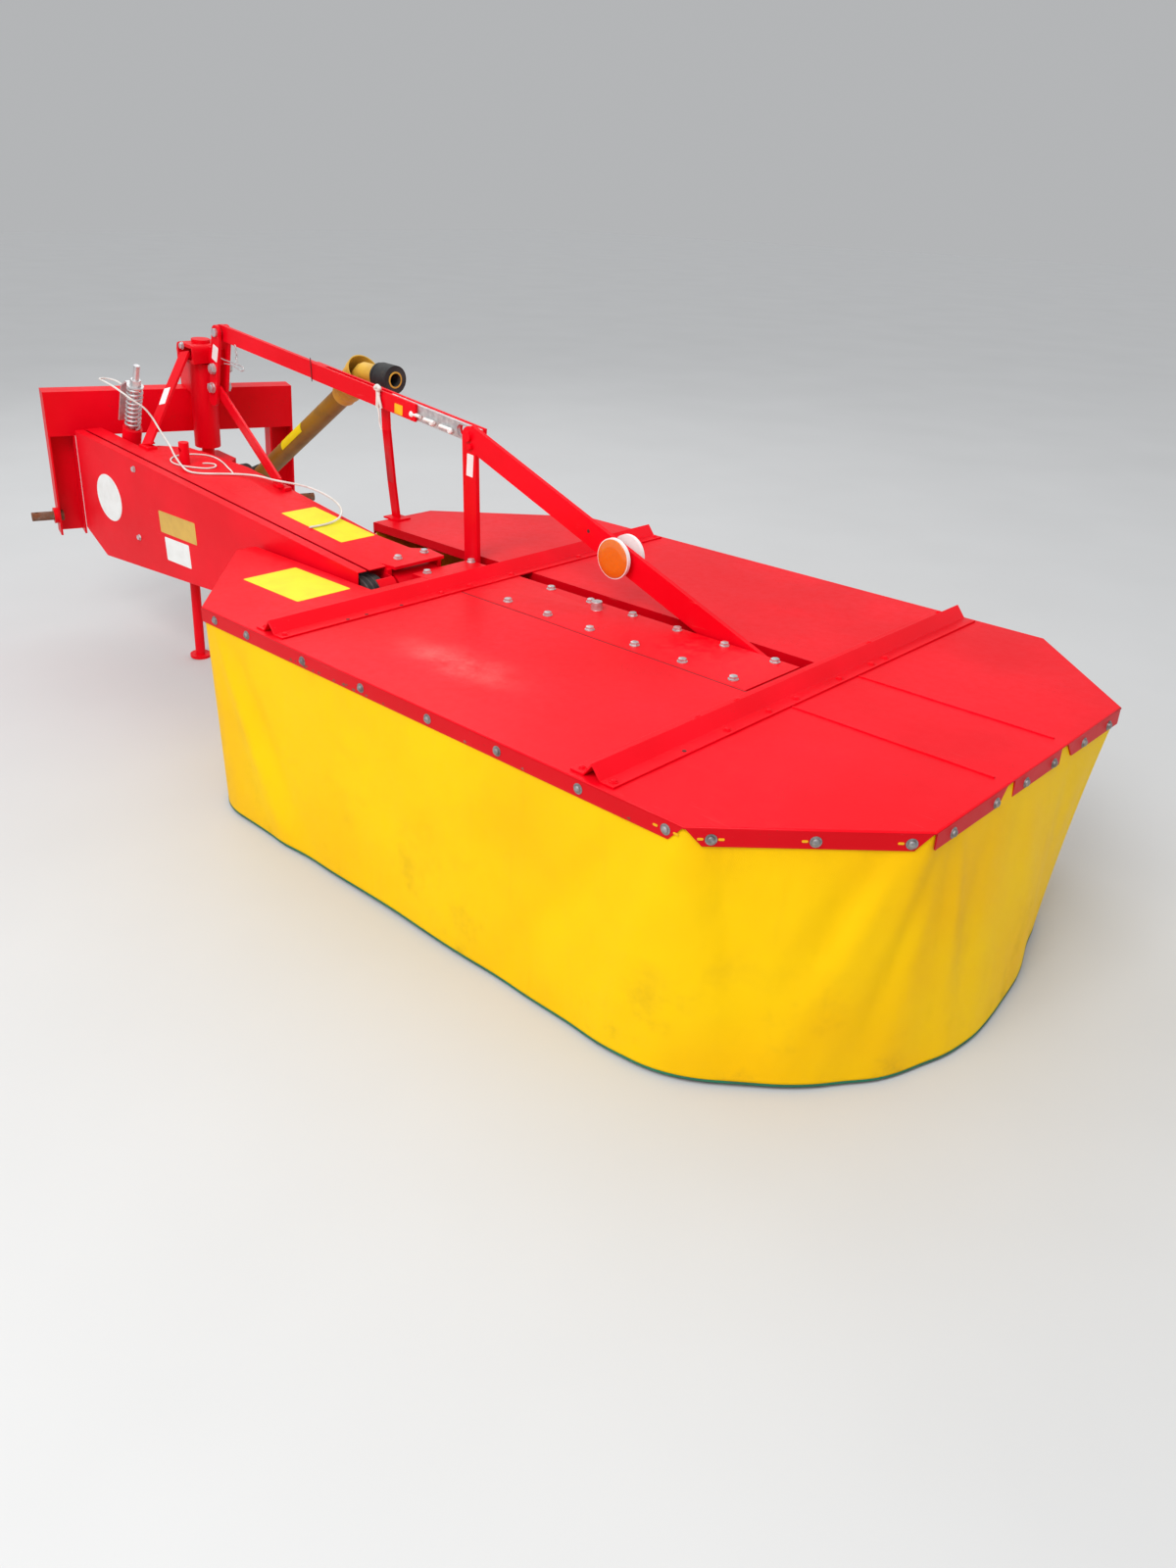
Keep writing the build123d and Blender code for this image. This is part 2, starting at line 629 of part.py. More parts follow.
def build_belt_drive():
    near = BELT_NEAR + BELT_SHEET + RUN_GAP
    pitch = PULLEY_WIDTH / (GROOVES + 0.3)
    small = grooved_pulley(PULLEY_SMALL, 0, 0, SHAFT_RADIUS)
    small += crosswise(SHAFT_RADIUS, 0, 0, near, ARM_NEAR - SEAT)
    nodes["deck_pulley"] = arm_frame * small
    large = grooved_pulley(PULLEY_LARGE, INPUT_X, INPUT_Z, SHAFT_RADIUS + BEARING_GAP)
    nodes["input_pulley"] = arm_frame * large
    reach = math.hypot(INPUT_X, INPUT_Z)
    low_small = PULLEY_SMALL - GROOVE_DEPTH + BELT_GAP
    low_large = PULLEY_LARGE - GROOVE_DEPTH + BELT_GAP
    belts = []
    for count in range(GROOVES):
        middle = near + pitch * (count + 0.65)
        y0 = middle - pitch * 0.36 + BELT_GAP
        y1 = middle + pitch * 0.36 - BELT_GAP

        def loop(extra):
            """The belt's outline: two circles and the strip between their tangents."""
            small_r = low_small + extra
            large_r = low_large + extra
            lean = math.asin((large_r - small_r) / reach)
            axis = math.atan2(INPUT_Z, INPUT_X)
            corners = []
            for sign in (1, -1):
                angle = axis + sign * (math.pi / 2 + lean)
                corners.append((angle, small_r, 0, 0))
                corners.append((angle, large_r, INPUT_X, INPUT_Z))
            first, second, third, fourth = [
                (cx + r * math.cos(angle), cz + r * math.sin(angle)) for angle, r, cx, cz in corners]
            strip = plate_xz([first, second, fourth, third], y0, y1)
            return (strip + crosswise(small_r, 0, 0, y0, y1)
                    + crosswise(large_r, INPUT_X, INPUT_Z, y0, y1))

        belts.append(arm_frame * (loop(GROOVE_DEPTH) - loop(0)))
    nodes["v_belts"] = together(belts)


def build_arm():
    plate = plate_xy([
        (ARM_HITCH_END - 56, ARM_NEAR), (-16, ARM_NEAR), (ARM_DECK_END, ARM_NEAR + 14),
        (ARM_DECK_END, 0), (-30, 0), (-60, -38), (-175, -50), (-351, -38), (-624, -20), (-741, -15),
        (-861, -9), (-1026, -30), (ARM_HITCH_END, -52), (ARM_HITCH_END - 56, -120),
    ], ARM_TOP - ARM_PLATE, ARM_TOP)
    plate -= upright(STAND_RADIUS + 1, STAND_X, STAND_Y, ARM_TOP - ARM_PLATE, ARM_TOP)
    near_ring = crosswise(LUG_NEAR_RING, 0, 0, TRAY_FAR, TRAY_FAR + LUG_SHEET)
    near_ring += block(-LUG_NEAR_RING, LUG_NECK, TRAY_FAR, TRAY_FAR + LUG_SHEET, 0, ARM_TOP - ARM_PLATE)
    near_ring -= crosswise(TRUNNION_RADIUS + BEARING_GAP, 0, 0, TRAY_FAR, TRAY_FAR + LUG_SHEET)
    lug_near = GEARBOX_FAR + BEARING_GAP * 2
    far_ring = crosswise(LUG_FAR_RING, 0, 0, lug_near, lug_near + LUG_SHEET)
    far_ring += block(-LUG_NECK, LUG_NECK, lug_near, lug_near + LUG_SHEET, 0, ARM_TOP - ARM_PLATE)
    far_ring -= crosswise(LUG_FAR_PIN + BEARING_GAP, 0, 0, lug_near, lug_near + LUG_SHEET)
    nodes["arm_plate"] = arm_frame * (plate + near_ring + far_ring)

    top = ARM_TOP - ARM_PLATE
    side = [
        (ARM_HITCH_END, top), (ARM_BOX_END, top), (ARM_BOX_END, top - ARM_DEPTH_DECK),
        (-420, top - ARM_DEPTH_DECK - 20), (ARM_HITCH_END, top - ARM_DEPTH_HITCH),
    ]
    box = plate_xz(side, ARM_NEAR, ARM_BOX_FAR)
    hollow = [
        (ARM_HITCH_END - 1, top - ARM_WALL), (ARM_BOX_END + 1, top - ARM_WALL),
        (ARM_BOX_END + 1, top - ARM_DEPTH_DECK + ARM_WALL),
        (-420, top - ARM_DEPTH_DECK - 20 + ARM_WALL),
        (ARM_HITCH_END - 1, top - ARM_DEPTH_HITCH + ARM_WALL),
    ]
    box -= plate_xz(hollow, ARM_NEAR + ARM_WALL, ARM_BOX_FAR - ARM_WALL)
    box += upright(STAND_SLEEVE, STAND_X, STAND_Y, top - STAND_SLEEVE_LENGTH - 30, top)
    box -= upright(STAND_RADIUS + 1, STAND_X, STAND_Y, top - STAND_SLEEVE_LENGTH - 30, top)
    nodes["arm_box"] = arm_frame * box


def build_head():
    low = ARM_TOP - ARM_PLATE - ARM_DEPTH_HITCH
    head = plate_xy([
        (ARM_HITCH_END, ARM_NEAR), (ARM_HITCH_END, ARM_BOX_FAR),
        (-1180, 90), (-1262, HEAD_FAR), (HEAD_LEFT + 20, HEAD_FAR),
        (HEAD_LEFT, HEAD_FAR - 40), (HEAD_LEFT, 0), (HEAD_LEFT + 20, ARM_NEAR),
    ], HEAD_TOP - HEAD_SHEET, HEAD_TOP)
    cheek = [
        (ARM_HITCH_END, ARM_TOP - ARM_PLATE), (ARM_HITCH_END, low),
        (HEAD_LEFT + 20, low), (HEAD_LEFT + 20, HEAD_TOP + 30), (-1290, ARM_TOP - ARM_PLATE),
    ]
    head += plate_xz(cheek, ARM_NEAR, ARM_NEAR + ARM_WALL)
    head += crosswise(40, INPUT_X, INPUT_Z, TRAY_FAR, BOOT_NEAR - 8)
    head += block(INPUT_X - 6, INPUT_X + 6, TRAY_FAR, BOOT_NEAR - 8, INPUT_Z, HEAD_TOP - HEAD_SHEET)
    # the swivel pin stands in the plate, the input shaft sits in the housing
    head += upright(SWIVEL_PIN, SWIVEL_X, SWIVEL_Y, HEAD_TOP - HEAD_SHEET - 14, YOKE_BOTTOM)
    head += crosswise(SHAFT_RADIUS, INPUT_X, INPUT_Z, BELT_NEAR + BELT_SHEET + RUN_GAP, STUB_FAR)
    nodes["arm_head"] = arm_frame * head

    yoke = block(YOKE_LEFT, YOKE_RIGHT, YOKE_NEAR, YOKE_FAR, YOKE_BOTTOM, YOKE_TOP)
    yoke = fillet(yoke.edges().filter_by(Axis.Y).group_by(Axis.Z)[-1], YOKE_ROUND)
    yoke -= block(YOKE_LEFT + YOKE_SHEET, YOKE_RIGHT - YOKE_SHEET, YOKE_NEAR, YOKE_FAR,
                  YOKE_BOTTOM, YOKE_TOP - YOKE_SHEET)
    yoke += block(YOKE_LEFT + YOKE_SHEET, YOKE_RIGHT - YOKE_SHEET, YOKE_NEAR, YOKE_FAR,
                  YOKE_BOTTOM, YOKE_BOTTOM + YOKE_SHEET)
    yoke += block(YOKE_RIGHT, YOKE_RIGHT + 50, TOWER_Y - TOWER_GAP / 2, TOWER_Y + TOWER_GAP / 2,
                  YOKE_BOTTOM + 4, YOKE_TOP - 4)
    yoke += upright(SWIVEL_PIN, SWIVEL_X, SWIVEL_Y, YOKE_BOTTOM, YOKE_TOP + 10)
    yoke += upright(SWIVEL_PIN + 9, SWIVEL_X, SWIVEL_Y, YOKE_TOP, YOKE_TOP + 10)
    nodes["yoke"] = arm_frame * yoke

    along = math.atan2(TOWER_PIN_Z - TOWER_FOOT_Z, TOWER_PIN_X - TOWER_FOOT_X)
    length = math.hypot(TOWER_PIN_Z - TOWER_FOOT_Z, TOWER_PIN_X - TOWER_FOOT_X)
    plates = []
    for y0 in (TOWER_Y - TOWER_GAP / 2 - TOWER_SHEET, TOWER_Y + TOWER_GAP / 2):
        plate = SlotCenterToCenter(length, TOWER_WIDTH)
        solid = extrude(plate, TOWER_SHEET)
        solid = Rot(90, 0, 0) * solid
        middle_x = (TOWER_PIN_X + TOWER_FOOT_X) / 2
        middle_z = (TOWER_PIN_Z + TOWER_FOOT_Z) / 2
        turned = Pos(middle_x, y0 + TOWER_SHEET, middle_z) * Rot(0, -math.degrees(along), 0) * solid
        turned -= crosswise(TOWER_PIN + SEAT, TOWER_PIN_X, TOWER_PIN_Z, y0, y0 + TOWER_SHEET)
        plates.append(arm_frame * turned)
    nodes["tower_plates"] = together(plates)
    outer = TOWER_GAP / 2 + TOWER_SHEET + 7
    nodes["tower_pin"] = arm_frame * crosswise(
        TOWER_PIN, TOWER_PIN_X, TOWER_PIN_Z, TOWER_Y - outer, TOWER_Y + outer)


def build_stays():
    start = (SWIVEL_X + 12, YOKE_NEAR - STAY_SHEET / 2, YOKE_TOP - 24)
    foot = (NEAR_STAY_FOOT[0], NEAR_STAY_FOOT[1], ARM_TOP + 10)
    below_plate = block(HEAD_LEFT, ARM_DECK_END, BELT_NEAR, HEAD_FAR, 0, ARM_TOP)
    stay = bar(start, foot, STAY_WIDTH, STAY_SHEET, (1, 0, 0))
    stay -= below_plate
    stay -= block(YOKE_LEFT, YOKE_RIGHT, YOKE_NEAR - SEAT, YOKE_FAR, YOKE_BOTTOM, YOKE_TOP)
    pad = block(foot[0] - 26, foot[0] + 26, foot[1] - 12, foot[1] + 20, ARM_TOP, ARM_TOP + 8)
    nodes["stay_near"] = arm_frame * (stay + pad)

    start = (-1236, TOWER_Y, 214)
    foot = (FAR_STAY_FOOT[0], FAR_STAY_FOOT[1], ARM_TOP + 12)
    stay = bar(start, foot, STAY_WIDTH, STAY_SHEET, (0, 0, 1))
    stay -= below_plate
    pad = block(foot[0] - 30, foot[0] + 30, foot[1] - 6, foot[1] + 18, ARM_TOP, ARM_TOP + 10)
    nodes["stay_far"] = arm_frame * (stay + pad)


def build_latch():
    """A cup with a pressure spring on it, and the rod through it with its folded hand lever."""
    lean = Location((LATCH_X, LATCH_Y, 0), (0, LATCH_LEAN, 0))
    housing = upright(CUP_RADIUS, 0, 0, CUP_BOTTOM, SPRING_BOTTOM)
    housing += block(-20, 60, -CUP_RADIUS, 30, CUP_BOTTOM, CUP_BOTTOM + 10)
    nodes["latch_housing"] = arm_frame * lean * housing
    washer = SPRING_TOP + LEVER_SHEET
    half = LEVER_WIDTH / 2
    lever = upright(LATCH_ROD, 0, 0, SPRING_BOTTOM, LATCH_ROD_TOP)
    lever += extrude(Pos(0, 0, washer) * RegularPolygon(LATCH_NUT, 6), LATCH_NUT_HEIGHT)
    lever += upright(SPRING_RADIUS + SPRING_WIRE, 0, 0, SPRING_TOP, washer)
    lever += block(-LEVER_SEAT, 0, -half, half, SPRING_TOP, washer)
    fold_x = LEVER_SHEET / 2 - LEVER_REACH
    lever += bar((1 - LEVER_SEAT, 0, SPRING_TOP + LEVER_SHEET / 2), (fold_x, 0, LEVER_TOP),
                 LEVER_WIDTH, LEVER_SHEET, (0, 1, 0))
    lever += block(-LEVER_REACH, LEVER_SHEET - LEVER_REACH, -half, half, LEVER_BOTTOM, LEVER_TOP)
    nodes["latch_lever"] = arm_frame * lean * lever
    rise = SPRING_TOP - SPRING_BOTTOM - 2 * (SPRING_WIRE + SEAT)
    turns = Helix(pitch=rise / SPRING_TURNS, height=rise, radius=SPRING_RADIUS)
    section = Plane(origin=turns @ 0, z_dir=turns % 0) * Circle(SPRING_WIRE)
    coil = Pos(0, 0, SPRING_BOTTOM + SPRING_WIRE + SEAT) * sweep(section, path=turns)
    nodes["latch_spring"] = arm_frame * lean * coil


def build_rope():
    """A round cord along straight runs joined by arcs that are as large as the runs allow."""
    points = [Vector(*point) for point in ROPE_ROUTE]
    radii = []
    for before, here, after in zip(points, points[1:], points[2:]):
        half_turn = math.radians((here - before).get_angle(after - here)) / 2
        shorter = min((here - before).length, (after - here).length)
        radii.append(0.45 * shorter / math.tan(half_turn))
    path = FilletPolyline(*points, radius=radii)
    section = Plane(origin=path @ 0, z_dir=path % 0) * Circle(ROPE_RADIUS)
    rope = sweep(section, path=path)
    nodes["latch_rope"] = arm_frame * rope
    print("rope length", round(path.length), "mm, arc radii", [round(radius) for radius in radii])
    print("rope volume over section times length", round(rope.volume / (section.area * path.length), 4))


def stand_foot_height():
    """Height in the arm frame at which the stand's foot meets the ground."""
    slope = math.radians(ARM_SLOPE)
    lowest = STAND_FOOT * math.sin(slope)
    return -(ARM_AXIS_Z - STAND_X * math.sin(slope) - lowest) / math.cos(slope)


def build_stand():
    bottom = stand_foot_height()
    leg = upright(STAND_RADIUS, STAND_X, STAND_Y, bottom + STAND_FOOT_SHEET, STAND_TOP)
    leg += upright(STAND_FOOT, STAND_X, STAND_Y, bottom, bottom + STAND_FOOT_SHEET)
    leg -= crosswise(7, STAND_X, STAND_TOP - 22, STAND_Y - 30, STAND_Y + 30)
    nodes["stand_leg"] = arm_frame * leg


def link_point(x):
    """A point of the tension link's centre line in the arm frame, above its station x."""
    slope = math.radians(ARM_SLOPE)
    dx = FRAME_POST_X - ARM_AXIS_X
    dz = FRAME_APEX_Z - ARM_AXIS_Z
    end_x = dx * math.cos(slope) - dz * math.sin(slope)
    end_z = dx * math.sin(slope) + dz * math.cos(slope)
    share = (x - TOWER_PIN_X) / (end_x - TOWER_PIN_X)
    y = TOWER_Y + (LINK_END_Y - TOWER_Y) * share
    return (x, y, TOWER_PIN_Z + (end_z - TOWER_PIN_Z) * share)


def slot_cutter(half):
    """The room that the apex pin needs as the arm floats."""
    slope = math.radians(ARM_SLOPE)
    dx = FRAME_POST_X - ARM_AXIS_X
    dz = FRAME_APEX_Z - ARM_AXIS_Z
    end_x = dx * math.cos(slope) - dz * math.sin(slope)
    radius = APEX_PIN + LINK_SLOT_PLAY
    right = link_point(end_x)
    left = link_point(end_x - LINK_SLOT)
    low = right[1] - half
    high = right[1] + half
    cutter = crosswise(radius, right[0], right[2], low, high)
    cutter += crosswise(radius, left[0], left[2], low, high)
    middle = [(left[0], left[2] - radius), (right[0], right[2] - radius),
              (right[0], right[2] + radius), (left[0], left[2] + radius)]
    return cutter + plate_xz(middle, low, high)


def link_piece(x0, x1, shift, height, thickness):
    """One flat bar of the link, beside its centre line by a shift."""
    a = link_point(x0)
    b = link_point(x1)
    return bar((a[0], a[1] + shift, a[2]), (b[0], b[1] + shift, b[2]), height, thickness, (0, 0, 1))


def build_link():
    inner = link_piece(TOWER_PIN_X, LINK_JOINT_X + 60, 0, LINK_HEIGHT, LINK_SHEET)
    inner += crosswise(LINK_HEIGHT / 2, TOWER_PIN_X, TOWER_PIN_Z,
                       TOWER_Y - LINK_SHEET / 2, TOWER_Y + LINK_SHEET / 2)
    inner -= crosswise(TOWER_PIN + SEAT, TOWER_PIN_X, TOWER_PIN_Z, TOWER_Y - 20, TOWER_Y + 20)
    nodes["link_bar"] = arm_frame * inner
    offset = LINK_SHEET / 2 + LINK_SIDE / 2 + SEAT
    near = link_piece(LINK_JOINT_X, LINK_STRIP_X, -offset, LINK_HEIGHT, LINK_SIDE)
    far = link_piece(LINK_JOINT_X, LINK_END_X, offset, LINK_HEIGHT, LINK_SIDE)
    far -= slot_cutter(40)
    strip = link_piece(LINK_STRIP_X - 120, LINK_END_X - 6, 0, LINK_HEIGHT - 6, LINK_STRIP)
    strip -= slot_cutter(40)
    nodes["link_sides"] = arm_frame * near + arm_frame * far
    nodes["link_strip"] = arm_frame * strip


def build_strut():
    """A bent flat bar that hangs on the link's far side and reaches the far panel."""
    top_x, top_z = STRUT_TOP
    slope = math.radians(ARM_SLOPE)
    at_link = link_point((top_x - ARM_AXIS_X) * math.cos(slope) - (top_z - ARM_AXIS_Z) * math.sin(slope))
    face = at_link[1] + LINK_SHEET / 2 + LINK_SIDE + 1
    foot_z = DECK_TOP + SEAT + 5
    foot = (STRUT_FOOT[0], STRUT_FOOT[1], foot_z)
    head = (top_x - 4, face + STRUT_SHEET / 2, top_z - 40)
    strut = bar(foot, STRUT_BEND, STRUT_WIDTH, STRUT_SHEET, (1, 0, 0))
    strut += bar(STRUT_BEND, head, STRUT_WIDTH, STRUT_SHEET, (1, 0, 0))
    strut += block(head[0] - STRUT_WIDTH / 2, head[0] + STRUT_WIDTH / 2, face, face + STRUT_SHEET,
                   top_z - 46, top_z + 18)
    strut += block(foot[0] - 32, foot[0] + 32, foot[1] - 22, foot[1] + 26, foot_z - 5, foot_z)
    strut -= block(-100, 200, 100, 300, DECK_TOP - 40, DECK_TOP + SEAT)
    nodes["strut"] = strut


def build_frame():
    """Post and diagonal on the gear beam's far side, with the pin that the link hangs on."""
    y0 = FRAME_Y - FRAME_SHEET / 2
    y1 = FRAME_Y + FRAME_SHEET / 2
    half = FRAME_POST_WIDTH / 2
    side = GEAR_Y + GEAR_WIDTH / 2
    frame = block(FRAME_POST_X - half, FRAME_POST_X + half, y0, y1, GEAR_BOTTOM + 20, FRAME_APEX_Z)
    frame += crosswise(half, FRAME_POST_X, FRAME_APEX_Z, y0, y1)
    frame += bar((FRAME_POST_X, FRAME_Y, FRAME_APEX_Z), (FRAME_FOOT_X, FRAME_Y, GEAR_BOTTOM + 60),
                 FRAME_BAR, FRAME_SHEET, (0, 0, 1))
    for x in (FRAME_POST_X + half, FRAME_FOOT_X - 40):
        frame += block(x - 20, x + 60, side, y0, GEAR_BOTTOM + 20, GEAR_TOP)
    pin_end = LINK_END_Y + LINK_SHEET / 2 + LINK_SIDE + 12
    frame += crosswise(APEX_PIN, FRAME_POST_X, FRAME_APEX_Z, y0 - 8, pin_end)
    nodes["tension_frame"] = frame
    drop = (FRAME_APEX_Z - GEAR_BOTTOM - 60) / (FRAME_FOOT_X - FRAME_POST_X)
    z = FRAME_APEX_Z - (REFLECTOR_X - FRAME_POST_X) * drop
    near = crosswise(REFLECTOR_STEM, REFLECTOR_X, z, y0 - 14, y0)
    near += crosswise(REFLECTOR_RADIUS, REFLECTOR_X, z, y0 - 14 - REFLECTOR_SHEET, y0 - 14)
    far = crosswise(REFLECTOR_STEM, REFLECTOR_X, z, y1, y1 + 14)
    far += crosswise(REFLECTOR_RADIUS, REFLECTOR_X, z, y1 + 14, y1 + 14 + REFLECTOR_SHEET)
    nodes["reflectors"] = near + far


def bellows():
    """The ribbed guard over the joint at the tube's upper end, open at its mouth."""
    start = Vector(*TUBE_HIGH)
    along = Vector(*BELL_MOUTH) - start
    length = along.length
    growth = (BELL_RADIUS - BELL_SMALL) / length
    pitch = length / BELL_RIBS
    outline = [(0, 0)]
    for count in range(BELL_RIBS):
        z = count * pitch
        outline.append((BELL_SMALL + growth * z, z))
        outline.append((BELL_SMALL + growth * z + BELL_RIB, z + pitch * 0.3))
        outline.append((BELL_SMALL + growth * z + BELL_RIB, z + pitch * 0.75))
    outline += [
        (BELL_RADIUS, length), (BELL_RADIUS - BELL_WALL, length),
        (BELL_SMALL, length * BELL_FLOOR), (0, length * BELL_FLOOR),
    ]
    return Plane(origin=start, z_dir=along.normalized()) * spun(outline, 0, 0)


def build_drive_shaft():
    """The guarded shaft: boot on the input, tube, bell with the joint's inner guard, and the free end's collar."""
    boot = crosswise(BOOT_RADIUS, INPUT_X, INPUT_Z, BOOT_NEAR, JOINT_LOW[1] - 10)
    boot += rod(JOINT_LOW, TUBE_LOW, BOOT_RADIUS - 8, TUBE_RADIUS + 5)
    boot -= crosswise(SHAFT_RADIUS + SEAT, INPUT_X, INPUT_Z, BOOT_NEAR, STUB_FAR + SEAT)
    boot -= rod(TUBE_LOW, TUBE_HIGH, TUBE_RADIUS)
    nodes["shaft_boot"] = arm_frame * boot
    nodes["shaft_tube"] = arm_frame * rod(TUBE_LOW, TUBE_HIGH, TUBE_RADIUS)
    inside = between(TUBE_HIGH, BELL_MOUTH, BELL_FLOOR)
    collar = rod(COLLAR_LOW, COLLAR_END, COLLAR_RADIUS)
    guard = rod(inside, BELL_MOUTH, YOKE_BAR) + rod(BELL_MOUTH, COLLAR_LOW, YOKE_BAR)
    bell = bellows() - rod(TUBE_LOW, TUBE_HIGH, TUBE_RADIUS)
    nodes["shaft_bell"] = arm_frame * (bell + (guard - collar))
    collar -= rod(between(COLLAR_LOW, COLLAR_END, 0.1), COLLAR_END, SPLINE_RADIUS)
    nodes["shaft_collar"] = arm_frame * collar


def build_hitch():
    """Folded beam with two legs, lower pins, swivel barrel and top-link lugs."""
    back = BEAM_FACE - BEAM_DEPTH
    y0 = -HITCH_NEAR_REACH
    y1 = HITCH_FAR_REACH
    beam = block(back, BEAM_FACE, y0, y1, BEAM_BOTTOM, BEAM_TOP)
    beam -= block(back, BEAM_FACE - HITCH_SHEET, y0 + HITCH_SHEET, y1 - HITCH_SHEET,
                  BEAM_BOTTOM + HITCH_SHEET, BEAM_TOP - HITCH_SHEET)
    middle = (back + BEAM_FACE) / 2
    pins = []
    for outer, inward in ((y0, 1), (y1, -1)):
        inner = outer + inward * LEG_WIDTH
        low, high = sorted((outer, inner))
        leg = block(back, BEAM_FACE, low, high, LEG_BOTTOM, BEAM_BOTTOM)
        leg -= block(back + HITCH_SHEET, BEAM_FACE, low + HITCH_SHEET, high - HITCH_SHEET,
                     LEG_BOTTOM, BEAM_BOTTOM)
        beam += leg
        seat = outer - inward * LOWER_COLLAR
        tip = seat - inward * LOWER_PIN_LENGTH
        root = outer + inward * (HITCH_SHEET + LOWER_PIN_ROOT)
        collar = sorted((outer, seat))
        beam += crosswise(LOWER_COLLAR_RADIUS, middle, LOWER_PIN_Z, *collar)
        shoulder = crosswise(LOWER_PIN_SHOULDER, middle, LOWER_PIN_Z, *sorted((seat, root)))
        beam -= shoulder
        pin = crosswise(LOWER_PIN_RADIUS, middle, LOWER_PIN_Z, *sorted((tip, seat))) + shoulder
        pin -= Pos(middle, tip + inward * LINCHPIN_IN, LOWER_PIN_Z) * Cylinder(
            LINCHPIN_RADIUS, 4 * LOWER_PIN_RADIUS)
        pins.append(hitch_frame * pin)
    nodes["hitch_beam"] = hitch_frame * beam
    nodes["lower_pins"] = together(pins)

    barrel = upright(BARREL_RADIUS, 0, 0, BARREL_BOTTOM, BARREL_TOP)
    reach = block(BEAM_FACE, 0, -16, 16, BEAM_BOTTOM + 14, BEAM_TOP - 14)
    lug_in = LUG_GAP / 2
    for low in (lug_in, -lug_in - LUG_PLATE):
        lug = [
            (-20, BARREL_TOP - 8), (-96, BARREL_TOP - 8), (LINK_EYE_X + 20, LINK_EYE_Z + 22),
            (LINK_EYE_X - 12, LINK_EYE_Z + 22), (LINK_EYE_X - 24, LINK_EYE_Z),
            (LINK_EYE_X - 12, LINK_EYE_Z - 22), (back, BEAM_TOP), (-20, BEAM_TOP),
        ]
        plate = plate_xz(lug, low, low + LUG_PLATE)
        plate -= crosswise(LINK_EYE_RADIUS, LINK_EYE_X, LINK_EYE_Z, low, low + LUG_PLATE)
        reach += plate
    barrel += reach
    barrel -= upright(SWIVEL_PIN + BEARING_GAP, 0, 0, BARREL_BOTTOM, BARREL_TOP)
    nodes["hitch_barrel"] = hitch_frame * barrel


build_deck()
build_cross_members()
build_gear_beam()
build_drums()
build_skirt()
build_belt_housing()
build_belt_drive()
build_arm()
build_head()
build_stays()
build_latch()
build_rope()
build_stand()
build_link()
build_frame()
build_strut()
build_drive_shaft()
build_hitch()

# The frame of the whole object: the middle of its box stands over the origin
boxes = [node.bounding_box() for node in nodes.values()]
low = [min(box.min.X for box in boxes), min(box.min.Y for box in boxes), min(box.min.Z for box in boxes)]
high = [max(box.max.X for box in boxes), max(box.max.Y for box in boxes), max(box.max.Z for box in boxes)]
shift = Pos(-(low[0] + high[0]) / 2, -(low[1] + high[1]) / 2, 0)
for name, node in nodes.items():
    export_step(shift * node, "parts/" + name + ".step")
print("shift", [round(v, 3) for v in shift.position])
print("low", [round(v, 2) for v in low], "high", [round(v, 2) for v in high])
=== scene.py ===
# %% [markdown]
# A drum mower, dressed for its picture.
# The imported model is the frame: it holds every rigid part at its real size and place.
# This lesson adds what makes the part look real: rounded sheet edges, the coated cloth of the skirt,
# bolts, stickers, clips and ropes, and a procedural finish for every surface.

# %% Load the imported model
import json
import math

import bmesh
import bpy
import numpy as np
from mathutils import Matrix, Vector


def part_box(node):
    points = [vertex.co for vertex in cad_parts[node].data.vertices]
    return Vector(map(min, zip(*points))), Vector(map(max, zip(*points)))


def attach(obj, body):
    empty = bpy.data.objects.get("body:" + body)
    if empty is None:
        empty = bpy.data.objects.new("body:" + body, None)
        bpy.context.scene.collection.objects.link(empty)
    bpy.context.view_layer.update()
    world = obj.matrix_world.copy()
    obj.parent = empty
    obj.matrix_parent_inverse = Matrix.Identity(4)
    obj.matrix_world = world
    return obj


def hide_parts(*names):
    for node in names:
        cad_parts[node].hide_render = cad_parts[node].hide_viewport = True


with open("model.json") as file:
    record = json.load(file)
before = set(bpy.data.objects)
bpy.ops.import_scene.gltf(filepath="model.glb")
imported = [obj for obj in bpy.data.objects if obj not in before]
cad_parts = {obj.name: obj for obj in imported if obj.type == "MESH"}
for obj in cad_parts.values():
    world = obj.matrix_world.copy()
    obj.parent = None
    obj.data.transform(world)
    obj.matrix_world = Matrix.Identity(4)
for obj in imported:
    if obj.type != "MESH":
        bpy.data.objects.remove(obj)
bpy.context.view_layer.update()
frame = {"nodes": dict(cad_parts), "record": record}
nodes = frame["nodes"]
body_of_node = {node: body for body, held in frame["record"]["behaviour"]["bodies"].items() for node in held}
joints = {joint["name"]: joint for joint in frame["record"]["behaviour"]["joints"]}

# %% [markdown]
# The camera stands where a person with a phone stood, about 1.4 m above the ground, beside the outer end.
# A camera's frame is three directions: right, up and back. They follow from a heading, a tilt and a roll,
# and writing them as a matrix keeps the three angles readable.

# %% Camera
CAMERA_AT = (2.29296, -1.9029, 1.3912)
CAMERA_HEADING = math.radians(-42.909)
CAMERA_TILT = math.radians(26.897)
CAMERA_ROLL = math.radians(1.743)
CAMERA_LENS = 27.05


def in_scene(name, data):
    """A new object, linked to the scene."""
    obj = bpy.data.objects.new(name, data)
    bpy.context.scene.collection.objects.link(obj)
    return obj


